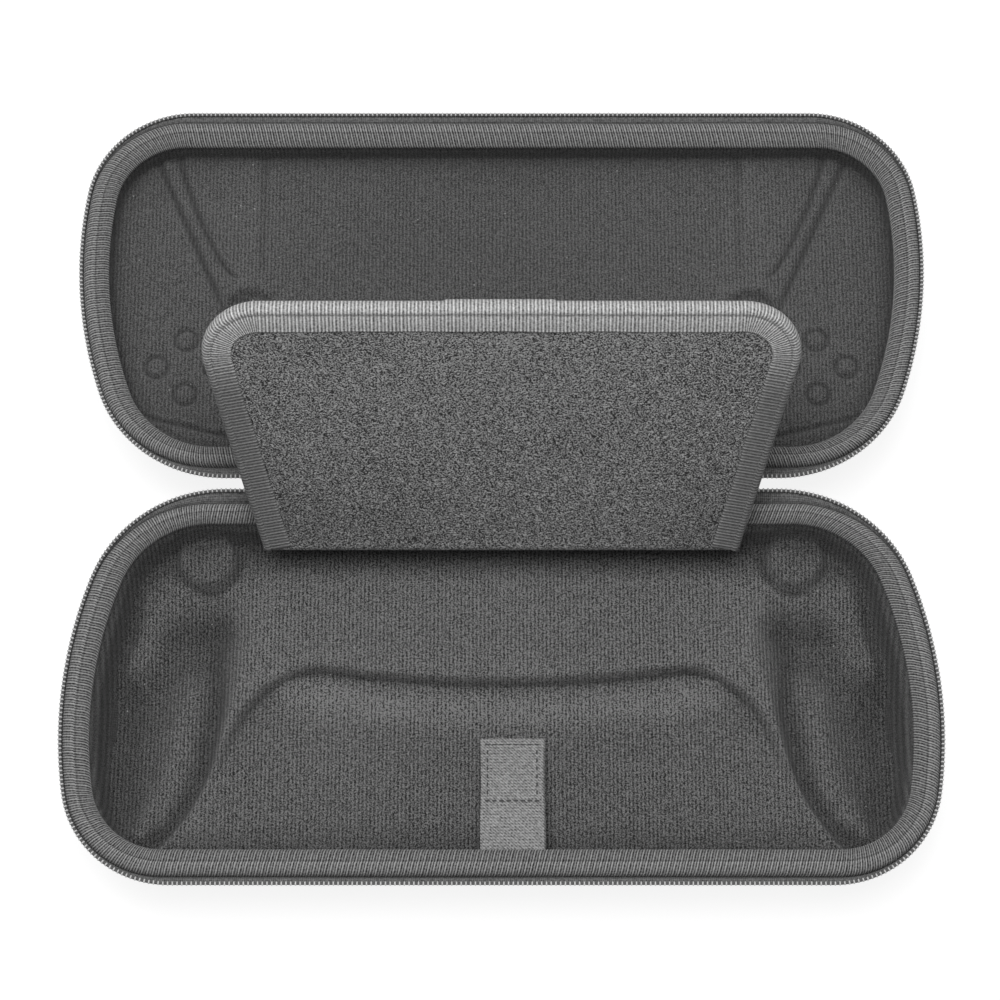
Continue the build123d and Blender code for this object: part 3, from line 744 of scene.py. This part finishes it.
def lid_depth(x, s):
    """Depth of the lid lining. The floor is 12 deep, the middle panel half a millimetre deeper inside a
    groove. Two slanting creases edge a band at each side, four rings stand in a diamond, a round dimple lies
    over each thumb stick, and a crease runs along the rear wall."""
    d = inside(x, s) / MM
    x, s = np.abs(x) / MM, s / MM
    depth = 12.0 + 0.5 * ease((87.5 - x) / 1.4) * ease((s - 30.0) / 3.0)
    depth = depth + 1.3 * hump(x - 87.3, 1.6) * ease((s - 84.0) / 6.0)
    outer = x - (101.4 + 0.435 * (s - 73.5))
    sway = s - 95.5
    inner = x - (104.8 + 0.50 * sway - 0.0034 * sway ** 2 - 2.2 * np.exp(-np.clip(s - 83.5, -6, None) / 3.2))
    on_outer, on_inner = ease((s - 66.0) / 6.0), ease((s - 83.0) / 4.0)
    depth = depth + 2.0 * hump(outer, 1.4) * on_outer + 1.9 * hump(inner, 1.3) * on_inner
    depth = depth - 0.6 * ease((s - 78.0) / 8.0) * ease((0.5 - outer) / 2.5) * ease((inner + 0.5) / 2.5)
    for dx, ds in ((10.6, 0.0), (-10.6, 0.0), (0.0, 10.6), (0.0, -10.6)):
        r = np.hypot(x - 114.0 - dx, s - 49.2 - ds)
        depth = depth + 1.5 * hump(r - 4.0, 0.9) - 0.6 * hump(r, 2.4)
    r = np.hypot(x - 91.0, s - 69.5)
    depth = depth + 3.0 * ease((11.6 - r) / 3.2)
    rear = s - 22.6 - 0.246 * (x - 99.0)
    depth = depth + 1.3 * hump(rear, 1.1) * ease((x - 84.0) / 8.0) * ease((130.0 - x) / 5.0)
    wall = 3.0 + (d - 8.35) * 9.0
    return soft_min(depth, wall, 2.0)


def hollow(depth, x, s, reach):
    """Depth of a place below the mean of eight places round it, in millimetres."""
    turns = np.arange(8) * math.pi / 4
    around = sum(np.maximum(depth(x + reach * math.cos(a), s + reach * math.sin(a)), 2.0) for a in turns) / 8
    return depth(x, s) - around


def tray_painted_light(x, s):
    """Painted light of the tray: a painted highlight over the foot of the arch, a faint painted dark line just
    under its lip, and painted shade on the bosses and in the rear corners.
    """
    x, s = np.abs(x) / MM, s / MM
    arch = s - (65.2 - 0.00114 * x ** 2)
    foot = (0.62 * hump(arch - 11.0, 6.0) - 0.10 * hump(arch - 2.4, 1.8)) * ease((84.0 - x) / 12.0)
    boss = 0.10 * ease((13.0 - np.hypot(x - 104.5, s - 22.3)) / 3.0)
    return foot - boss - 0.20 * ease((42.0 - s) / 18.0) * ease((x - 82.0) / 10.0)


def lid_painted_light(x, s):
    """Painted light of the lid: painted lighter between the slanting band and the middle panel, with painted
    shade towards the middle and the rear.
    """
    x, s = np.abs(x) / MM, s / MM
    pale = 0.10 * hump(x - 93.0, 9.0) * ease((s - 74.0) / 10.0)
    return pale - 0.09 * hump(x, 45.0) - 0.12 * ease((50.0 - s) / 25.0)


def lining_sheet(name, depth, painted_light, side, columns, rows):
    """Lining as a function of two parameters: s runs over the depth of the case and x = c * half width, both
    a little closer together near the walls, at height rim - depth(x, s)."""
    inset = 8.35 * MM
    r = rim_shape(-inset)
    t = np.linspace(-1, 1, rows)
    c = 0.6 * (1.5 * t - 0.5 * t ** 3) + 0.4 * t
    s = (r["rear"] + r["front"]) / 2 + (r["front"] - r["rear"]) / 2 * c
    t = np.linspace(-1, 1, columns)
    c = 0.6 * (1.5 * t - 0.5 * t ** 3) + 0.4 * t
    x = half_width(s, inset)[:, None] * c[None, :]
    s = np.broadcast_to(s[:, None], x.shape)
    deep = depth(x, s)
    obj = surface(name, np.stack([x, side * s, RIM_TOP - deep * MM], axis=-1), up=(0, 0, 1))
    # Painted light of the lining, kept on its points: painted shade in hollows and creases and over the deep
    # wells, painted highlight on ridges, plus the painted light of the tray or the lid.
    painted_shade = 0.38 * hollow(depth, x, s, 1.8 * MM) + 0.07 * hollow(depth, x, s, 6.0 * MM)
    painted_shade = np.maximum(painted_shade + 0.025 * hollow(depth, x, s, 15.0 * MM), -0.06)
    painted_shade = painted_shade + 0.28 * ease((deep - 23.5) / 7.0) - painted_light(x, s)
    return set_painted_light(obj, np.clip(1.05 - painted_shade, 0.5, 1.6))


# Pieces

def binding_piece(name, side, seed):
    """Woven tape folded over a rim in two layers: a closed profile with rounded shoulders and a step at the
    edge of the upper layer, which is scalloped by the stitches; uneven along the rim."""
    count = 2000
    p, n, run = rim_ring(count)
    edge = sizes().layer_edge / MM
    a = np.linspace(0.0, math.pi / 2, 7)
    shoulder = np.stack([-3.4 + 3.4 * np.cos(a), -3.4 + 3.4 * np.sin(a)], axis=1)
    inner = np.stack([-6.3 - 3.0 * np.sin(a), -3.5 + 3.0 * np.cos(a)], axis=1)
    step = np.array([[-edge + 0.35, 0.0], [-edge + 0.05, -0.05], [-edge - 0.05, -0.42], [-edge - 0.4, -0.5],
                     [-5.6, -0.5]])
    back = np.array([[-9.3, -4.5], [-8.4, -4.5], [-8.4, -3.2], [-4.65, -1.3], [-0.9, -3.2], [-0.9, -9.0]])
    profile = np.concatenate([[[0.0, -9.0], [0.0, -6.5]], shoulder, step, inner, back])
    lengths = running(profile)
    first = 2 + len(shoulder)
    run_v = (lengths - lengths[first + 2]) * MM
    wave = ripple(run[:-1], run[-1], seed)[:, None]
    scallop = np.cos(2 * math.pi * run[:-1] / (2 * sizes().rib_pitch))[:, None]
    column = np.arange(len(profile))[None, :]
    at_edge = ((column >= first) & (column < first + 3)) * 1.0
    at_hem = ((column >= len(profile) - 6) & (column < len(profile) - 4)) * 1.0
    seen = ((column >= 2) & (column < len(profile) - 6)) * 1.0
    out = profile[None, :, 0] - at_edge * (0.16 * scallop + 0.18 * wave) + at_hem * 0.25 * scallop
    high = profile[None, :, 1] - seen * 0.1 * (1 + wave) + at_hem * (0.15 * scallop + 0.2 * wave + 0.1)
    pts = sweep((p, n), np.stack([out * MM, RIM_TOP + high * MM], axis=-1), side)
    return surface(name, pts, True, True, run_u=run, run_v=run_v)


def tape_piece(name, side):
    """Zip tape from the chain in to the binding: point = chain point - n * gap * t, dipping as it goes in."""
    p, n, run = chain_run(1.0 * MM)
    rim = rim_ring(1500)[0]
    gap = np.sqrt(((p[:, None, :] - rim[None, :, :]) ** 2).sum(axis=-1).min(axis=1))
    t = np.linspace(0.0, 1.0, 9)
    out = -(0.9 * MM + (gap[:, None] - 0.75 * MM) * t[None, :])
    drop = (2.3 + 0.4 * t + 1.9 * ease((t - 0.55) / 0.45)) * MM
    high = np.broadcast_to(RIM_TOP - drop, out.shape) + 0.12 * MM * np.sin(run / 0.021)[:, None] * t
    obj = surface(name, sweep((p, n), np.stack([out, high], axis=-1), side), run_u=run, up=(0, 0, 1))
    return thicken(obj, 0.5 * MM)


def teeth_piece(name, side):
    """Zip chain: a rounded tooth every pitch, its long way across the chain."""
    p, n, run = chain_run(sizes().tooth_pitch, grow=-0.7 * MM)
    verts, faces = bead(1.4 * MM, 0.95 * MM, 1.9 * MM)
    zero = np.zeros(len(p))
    across = np.stack([n[:, 0], side * n[:, 1], zero], axis=1)
    upward = np.broadcast_to([0.0, 0.0, 1.0], across.shape)
    along = np.cross(upward, across)
    places = np.stack([p[:, 0], side * p[:, 1], np.full(len(p), RIM_TOP - 1.35 * MM)], axis=1)
    return copies(name, verts, faces, places, np.stack([across, along, upward], axis=1))


def cord_piece(name, side):
    """Filler cord through the teeth: a flat oval carried along the chain."""
    p, n, run = chain_run(1.5 * MM, grow=-0.8 * MM)
    a = np.linspace(0, 2 * math.pi, 8, endpoint=False)
    profile = np.stack([0.55 * MM * np.cos(a), RIM_TOP - 1.6 * MM + 0.75 * MM * np.sin(a)], axis=1)
    return surface(name, sweep((p, n), profile, side), close_v=True, run_u=run, ends=True)


def shell_piece(name, side):
    """Moulded shell: outer wall with draft and a rounded foot, flat floor, and the inner wall behind it."""
    p, n, run = rim_ring(600)
    top, split = RIM_TOP / MM - 0.95, RIM_TOP / MM - 9.5
    draft, r = math.radians(10.0 if side == BASE else 19.0), 12.0
    high = np.linspace(split, r * (1 - math.sin(draft)), 8)[:-1]
    wall = np.stack([-0.95 - (split - high) * math.tan(draft), high], axis=1)
    centre = -0.95 - (split - r) * math.tan(draft) - r / math.cos(draft)
    a = np.linspace(-draft, -math.pi / 2, 10)
    foot = np.stack([centre + r * np.cos(a), r + r * np.sin(a)], axis=1)
    head = np.array([[-2.6, top], [-1.4, top - 0.7], [-0.95, top - 2.2], [-0.95, split + 1.0]])
    floor = np.array([[centre - 5.0, 0.0], [-28.0, 0.0]])
    inner = np.array([[-28.0, 3.2], [-17.0, 3.2], [-8.5, 11.0], [-4.15, split], [-4.1, top]])
    pts = sweep((p, n), np.concatenate([inner, head, wall, foot, floor]) * MM, side)
    return surface(name, pts, close_u=True, run_u=run, ends=True)


def flap_place(x, t, out):
    """Point of the flap: x across, t along it from its axis, out from its middle plane towards the front."""
    s = sizes()
    lean = s.flap_open
    y = -s.flap_axis - np.cos(lean) * t - np.sin(lean) * out
    z = RIM_TOP - s.flap_below + np.sin(lean) * t - np.cos(lean) * out
    return np.stack(np.broadcast_arrays(x, y, z), axis=-1)


def flap_way(x, t, out):
    """Direction in the flap's own axes."""
    return flap_place(x, t, out) - flap_place(0.0, 0.0, 0.0)


def flap_edge(spacing, start=4.4 * MM):
    """Edge of the flap up one side, round the corner, over the top and down: points, normals, lengths."""
    s = sizes()
    r, end = s.flap_corner, s.flap_length
    cx = s.flap_half + s.flap_flare * (end - r) - r * math.sqrt(1 + s.flap_flare ** 2)
    a0 = -math.atan(s.flap_flare)
    a = np.linspace(a0, math.pi / 2, 500)
    first = np.array([[s.flap_half + s.flap_flare * start, start]])
    points = np.concatenate([first, np.stack([cx + r * np.cos(a), end - r + r * np.sin(a)], axis=1)])
    turn = np.append(a0, a)
    normals = np.stack([np.cos(turn), np.sin(turn)], axis=1)
    flip = np.array([-1.0, 1.0])
    points = np.concatenate([points, points[::-1] * flip])
    normals = np.concatenate([normals, normals[::-1] * flip])
    run = running(points)
    stations = np.linspace(0.0, run[-1], int(run[-1] / spacing))
    return resample(run, points, stations), resample(run, normals, stations), stations


def flap_face(name, front):
    """Felt face: x = c * half width(t), crowned a little, sunk at its edges and rolled round the bead.
    It carries painted light: palest in the middle of the free edge, with painted shade towards the axis and
    the sides."""
    s = sizes()
    top, r = s.flap_length - 4.0 * MM, 15.0 * MM
    t = np.concatenate([np.linspace(-2.5, 2.0, 12), np.linspace(3.0, top / MM, 74)]) * MM
    reach = s.flap_half + s.flap_flare * t - 4.0 * MM - 1.5 * MM * (1 - ease(t / (4.0 * MM)))
    over = np.clip(t - (top - r), 0, r)
    reach = reach - (r - np.sqrt(np.clip(r ** 2 - over ** 2, 0, None)))
    c = np.linspace(-1, 1, 121)
    x = reach[:, None] * c[None, :]
    tt = np.broadcast_to(t[:, None], x.shape)
    near = np.minimum((1 - np.abs(c))[None, :] * reach[:, None], top - tt)
    roll = np.sqrt((2.72 * MM) ** 2 - np.minimum(tt, 0.0) ** 2) - 2.45 * MM
    high = 2.45 * MM + roll * (1 - ease(tt / (3.0 * MM))) - 0.55 * MM * np.exp(-near / (3.5 * MM))
    high = high + 0.12 * MM * ripple(x / 0.09 + tt / 0.07, 1.0, 0.3) * ease(tt / (4.0 * MM))
    pts = flap_place(x, tt, high if front else -high)
    facing = flap_way(0.0, 0.0, 1.0 if front else -1.0)
    # Painted light: lighter towards the free edge and the middle, painted shade towards the axis and the
    # sides.
    pale = (0.72 + 0.80 * tt / s.flap_length) * (1.05 - 0.28 * c[None, :] ** 2)
    return thicken(set_painted_light(surface(name, pts, up=facing), pale), 0.8 * MM)


def flap_binding_piece(name):
    """Woven tape folded over the free edges of the flap: closed profile, full at the fold, flattened at its
    hems, and lapped over itself at the middle of the free edge. Painted light: the tape is painted lighter
    along the free edge, which faces up, and darker down the sides."""
    p, n, run = flap_edge(0.6 * MM, start=-1.8 * MM)
    a = np.linspace(math.pi / 2, -math.pi / 2, 11)
    fold = np.stack([-2.2 + 2.2 * np.cos(a), 3.2 * np.sin(a)], axis=1)
    face = np.array([[-10.0, 2.72], [-9.4, 2.95], [-6.5, 2.92], [-4.0, 2.95], [-3.2, 2.72], [-2.7, 3.05]])
    hollow = np.array([[-10.0, -2.5], [-0.8, -2.5], [-0.8, 2.5], [-10.0, 2.5]])
    profile = np.concatenate([face, fold, face[::-1] * np.array([1.0, -1.0]), hollow])
    lap = ease((0.019 - np.abs(p[:, 0] + 0.0005)) / 0.001) * (p[:, 1] > 0.09)
    wave = ripple(run, run[-1] * 1.02, 0.7)[:, None]
    out = profile[None, :, 0] + (profile[None, :, 0] < -9) * 0.25 * wave + lap[:, None] * 0.35
    high = profile[None, :, 1] + np.sign(profile[None, :, 1]) * lap[:, None] * 0.4
    flat = p[:, None, :] + n[:, None, :] * out[..., None] * MM
    obj = surface(name, flap_place(flat[..., 0], flat[..., 1], high * MM), close_v=True, run_u=run, ends=True)
    # Painted light: 1 along the upward-facing free edge, down to 0.25 on the sides, which stand in painted
    # shade.
    tone = 0.25 + 0.75 * ease((p[:, 1] / sizes().flap_length - 0.6) / 0.38)
    return set_painted_light(obj, np.broadcast_to(tone[:, None], flat.shape[:2]))


def flap_strip_piece(name):
    """Cloth strip from the rear binding under the bead of the flap: a short run and a cup round the bead."""
    s = sizes()
    half = s.flap_half - 11.5 * MM
    x = np.linspace(-half, half, 160)
    a = np.linspace(0.0, -math.radians(112), 14)
    y = np.concatenate([[5.5 * MM, 4.4 * MM], 3.35 * MM * np.cos(a)])
    z = np.concatenate([[-0.1 * MM, -0.2 * MM], 3.35 * MM * np.sin(a)])
    pts = np.broadcast_arrays(x[:, None], y[None, :] - s.flap_axis, z[None, :] + RIM_TOP - s.flap_below)
    return thicken(surface(name, np.stack(pts, axis=-1), run_u=x - x[0], up=(0, 0, 1)), 0.4 * MM)


def strap_place(v, x, lift):
    """Point of the strap: v along it from its root to its tip, bowed a little, lift above its upper face."""
    root, tip = np.array([132.6, 10.5]), np.array([88.2, 20.0])
    way = (tip - root) / np.linalg.norm(tip - root)
    s = root[0] + way[0] * v / MM
    depth = root[1] + way[1] * v / MM - 0.8 * np.sin(np.clip(v / 0.0454, 0, 1) * math.pi) - lift / MM
    return np.stack(np.broadcast_arrays(sizes().strap_x + x, -s * MM, RIM_TOP - depth * MM), axis=-1)


def strap_piece(name, bottom):
    """One layer of the folded webbing: a flat oval section carried along the strap, dented along its seam."""
    w = sizes().strap_width / 2
    v = np.linspace(0.0, 44.8 if bottom else 45.4, 90) * MM
    a = np.linspace(0, 2 * math.pi, 28, endpoint=False)
    x = w * np.sign(np.cos(a)) * np.abs(np.cos(a)) ** 0.35
    z = 0.55 * MM * np.sign(np.sin(a)) * np.abs(np.sin(a)) ** 0.5
    x = x[None, :] * (1.0 + 0.012 * np.sin(v / 0.006))[:, None]
    dent = 0.0 if bottom else 0.3 * MM * hump(v[:, None] - 0.0205, 0.0009)
    lift = -1.75 * MM if bottom else -0.6 * MM
    pts = strap_place(v[:, None], x + (0.35 * MM if bottom else 0.0), lift + z[None, :] - dent)
    return surface(name, pts, close_v=True, run_u=v, ends=True)


def stitch_row(name, places, ways, normals, long, thick):
    """Row of stitches: one rounded grain each, long way along the seam."""
    ways = ways / np.linalg.norm(ways, axis=1, keepdims=True)
    normals = normals / np.linalg.norm(normals, axis=1, keepdims=True)
    verts, faces = bead(long, thick, thick)
    return copies(name, verts, faces, places, np.stack([ways, np.cross(normals, ways), normals], axis=1))


def hinge_piece(name):
    """Cloth strip from rim to rim: flat along the hinge, sagging between the rims."""
    half, reach = 64.0 * MM, sizes().rim_rear + 0.45 * MM
    x = np.linspace(-half, half, 130)
    y = np.linspace(-reach, reach, 25)
    z = RIM_TOP - 2.6 * MM - 0.6 * MM * (1 - (y / reach) ** 2)
    pts = np.stack(np.broadcast_arrays(x[:, None], y[None, :], z[None, :]), axis=-1)
    return thicken(surface(name, pts, run_u=x - x[0], up=(0, 0, 1)), 0.5 * MM)


def paint(node, finish):
    """New finish on a carried-over node."""
    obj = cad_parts[node]
    obj.data.materials.clear()
    obj.data.materials.append(material(finish))


# Operators

class CASE_OT_linings(bpy.types.Operator):
    """Moulded linings of the base and the lid"""
    bl_idname = "case.linings"
    bl_label = "Linings"

    def execute(self, context):
        tray = lining_sheet("base_tray_lining", tray_depth, tray_painted_light, BASE, 310, 300)
        roof = lining_sheet("lid_lining_sheet", lid_depth, lid_painted_light, LID, 420, 220)
        finish_piece(tray, material("Tray knit"), "base", ["base_tray"])
        finish_piece(roof, material("Lid knit"), "lid", ["lid_lining"])
        return {"FINISHED"}


class CASE_OT_shells(bpy.types.Operator):
    """Moulded shells with their cloth"""
    bl_idname = "case.shells"
    bl_label = "Outer shells"

    def execute(self, context):
        cloth = material("Outer cloth")
        finish_piece(shell_piece("base_shell_cloth", BASE), cloth, "base", ["base_shell"])
        finish_piece(shell_piece("lid_shell_cloth", LID), cloth, "lid", ["lid_shell"])
        return {"FINISHED"}


class CASE_OT_bindings(bpy.types.Operator):
    """Woven bindings of the two rims"""
    bl_idname = "case.bindings"
    bl_label = "Rim bindings"

    def execute(self, context):
        tape = material("Rim tape")
        finish_piece(binding_piece("base_rim_tape", BASE, 0.11), tape, "base", ["base_binding"])
        finish_piece(binding_piece("lid_rim_tape", LID, 0.37), tape, "lid", ["lid_binding"])
        return {"FINISHED"}


class CASE_OT_zip(bpy.types.Operator):
    """Zip tapes, teeth, cords and the painted sliders"""
    bl_idname = "case.zip"
    bl_label = "Zip"

    def execute(self, context):
        for side, body in ((BASE, "base"), (LID, "lid")):
            finish_piece(tape_piece(body + "_zip_cloth", side), material("Zip tape"), body,
                         [body + "_zipper_tape"])
            finish_piece(teeth_piece(body + "_zip_teeth", side), material("Zip teeth"), body,
                         [body + "_zipper_coil"])
            finish_piece(cord_piece(body + "_zip_cord", side), material("Zip cord"), body, ())
        for hand in ("left", "right"):
            paint("zipper_slider_" + hand, "Slider paint")
            paint("zipper_puller_" + hand, "Slider paint")
        return {"FINISHED"}


class CASE_OT_flap(bpy.types.Operator):
    """Flap with its felt faces, binding, seams and hinge cloth"""
    bl_idname = "case.flap"
    bl_label = "Flap"

    def execute(self, context):
        felt, cloth = material("Felt"), material("Zip tape")
        for label, front in (("front", True), ("back", False)):
            face = finish_piece(flap_face("flap_%s_felt" % label, front), felt, "flap",
                                ["flap_%s_face" % label])
        finish_piece(flap_binding_piece("flap_edge_tape"), material("Flap tape"), "flap", ["flap_binding"])
        finish_piece(flap_strip_piece("flap_hinge_cloth"), cloth, "base", ["flap_hinge_strip"])
        paint("flap_board", "Pile")
        paint("flap_loop_patch", "Pile")
        for label, back_off, side in (("front", 3.3, 1.0), ("rear", 3.3, -1.0)):
            p, n, run = flap_edge(2.5 * MM, start=6.0 * MM)
            flat = p - n * back_off * MM
            places = flap_place(flat[:, 0], flat[:, 1], np.full(len(flat), 2.75 * MM * side))
            ways = flap_way(-n[:, 1], n[:, 0], 0.0)
            normals = np.broadcast_to(flap_way(0.0, 0.0, side), ways.shape)
            row = stitch_row("flap_stitches_" + label, places, ways, normals, 1.5 * MM, 0.35 * MM)
            finish_piece(row, material("Flap thread"), "flap")
        return {"FINISHED"}


class CASE_OT_strap(bpy.types.Operator):
    """Folded strap with its seams and hook patch"""
    bl_idname = "case.strap"
    bl_label = "Strap"

    def execute(self, context):
        twill = material("Strap twill")
        finish_piece(strap_piece("strap_upper", False), twill, "base", ["strap"])
        finish_piece(strap_piece("strap_lower", True), twill, "base", ())
        paint("strap_hook_patch", "Pile")
        w = sizes().strap_width / 2 - 2.4 * MM
        near, far = 0.0205, 0.0428
        across, along = np.linspace(-w, w, 8), np.linspace(near, far, 8)[1:-1]
        v = np.concatenate([np.full(8, near), np.full(8, far), along, along])
        x = np.concatenate([across, across, np.full(6, -w), np.full(6, w)])
        places = strap_place(v, x, 0.0)
        step = strap_place(v + MM, x, 0.0) - places
        ways = np.where((np.arange(len(v)) < 16)[:, None], np.array([[1.0, 0.0, 0.0]]), step)
        normals = np.cross(np.array([[1.0, 0.0, 0.0]]), step)
        normals = normals * np.sign(normals[:, 2:3])
        row = stitch_row("strap_stitches", places, ways, normals, 1.7 * MM, 0.7 * MM)
        finish_piece(row, material("Thread"), "base")
        return {"FINISHED"}


class CASE_OT_hinge(bpy.types.Operator):
    """Cloth hinge between base and lid"""
    bl_idname = "case.hinge"
    bl_label = "Hinge strip"

    def execute(self, context):
        strip = finish_piece(hinge_piece("hinge_cloth"), material("Zip tape"), None, ["hinge_strip"])
        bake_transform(strip)
        return {"FINISHED"}


class CASE_OT_stage(bpy.types.Operator):
    """White floor and surroundings, a soft lamp and the camera"""
    bl_idname = "case.stage"
    bl_label = "Stage"

    def execute(self, context):
        scene = context.scene
        scene.view_settings.view_transform = "Standard"
        floor = new_object("floor", np.array([[-4, -4, 0], [4, -4, 0], [4, 4, 0], [-4, 4, 0]], float),
                           np.array([[0, 1, 2, 3]]))
        floor.data.materials.append(floor_material())
        world = bpy.data.worlds.new("Studio")
        world.use_nodes = True
        scene.world = world
        sky = world.node_tree.nodes["Background"]
        sky.inputs[0].default_value = (1.0, 1.0, 1.0, 1.0)
        seen = seen_ray(world.node_tree)
        world.node_tree.links.new(math_node(world.node_tree, "MULTIPLY_ADD", seen, 0.73, 0.27), sky.inputs[1])
        lamp("overhead", (-0.1, -0.03, 1.7), (0.0, 0.0, 0.0), 0.9, 21.0)
        camera_at(context)
        return {"FINISHED"}


def seen_ray(tree):
    """1 for what the camera sees straight or in a reflection."""
    path = tree.nodes.new("ShaderNodeLightPath")
    return math_node(tree, "MAXIMUM", path.outputs["Is Camera Ray"], path.outputs["Is Glossy Ray"])


def lamp(name, place, target, size, watts):
    """Square soft lamp that faces the target."""
    data = bpy.data.lights.new(name, "AREA")
    data.size = size
    data.energy = watts
    obj = bpy.data.objects.new(name, data)
    obj.location = place
    way = np.subtract(target, place)
    way = way / np.linalg.norm(way)
    obj.rotation_euler = (math.acos(-way[2]), 0.0, math.atan2(way[0], -way[1]) + math.pi)
    bpy.context.scene.collection.objects.link(obj)
    return obj


def floor_material():
    """Pale floor that the camera sees as white, with the shadow of the case kept."""
    mat = bpy.data.materials.new("Floor")
    mat.use_nodes = True
    tree = mat.node_tree
    shader = tree.nodes["Principled BSDF"]
    shader.inputs["Base Color"].default_value = (0.25, 0.25, 0.25, 1.0)
    shader.inputs["Roughness"].default_value = 0.9
    shader.inputs["Emission Color"].default_value = (1.0, 1.0, 1.0, 1.0)
    tree.links.new(math_node(tree, "MULTIPLY", seen_ray(tree), 0.86), shader.inputs["Emission Strength"])
    return mat


def camera_at(context):
    """Camera on the photograph's line of sight: 69 degrees above the table, aimed at the hinge line."""
    data = bpy.data.cameras.new("camera")
    data.sensor_width = 36.0
    data.lens = 130.0
    data.shift_x = -0.0015
    data.shift_y = -0.018
    obj = bpy.data.objects.new("camera", data)
    context.scene.collection.objects.link(obj)
    rise = math.radians(69.0)
    obj.location = (0.0, -1.275 * math.cos(rise), RIM_TOP + 1.275 * math.sin(rise))
    obj.rotation_euler = (math.pi / 2 - rise, 0.0, 0.0)
    context.scene.camera = obj


class CASE_PT_panel(bpy.types.Panel):
    """Sizes, colours and pieces of the case"""
    bl_idname = "CASE_PT_panel"
    bl_label = "Console case"
    bl_space_type = "VIEW_3D"
    bl_region_type = "UI"
    bl_category = "Case"

    def draw(self, context):
        for group in (context.scene.case_sizes, context.scene.case_colours):
            for name in group.bl_rna.properties.keys():
                if name not in ("rna_type", "name"):
                    self.layout.prop(group, name)
        for step in STEPS:
            self.layout.operator(step.bl_idname)


STEPS = (CASE_OT_linings, CASE_OT_shells, CASE_OT_bindings, CASE_OT_zip, CASE_OT_flap, CASE_OT_strap,
         CASE_OT_hinge, CASE_OT_stage)
CLASSES = (CaseSizes, CaseColours) + STEPS + (CASE_PT_panel,)


def register():
    for cls in CLASSES:
        bpy.utils.register_class(cls)
    bpy.types.Scene.case_sizes = bpy.props.PointerProperty(type=CaseSizes)
    bpy.types.Scene.case_colours = bpy.props.PointerProperty(type=CaseColours)


def unregister():
    del bpy.types.Scene.case_colours
    del bpy.types.Scene.case_sizes
    for cls in reversed(CLASSES):
        bpy.utils.unregister_class(cls)


def main():
    """Registers the add-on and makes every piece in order."""
    register()
    for step in STEPS:
        group, name = step.bl_idname.split(".")
        getattr(getattr(bpy.ops, group), name)()


if __name__ == "__main__":
    main()
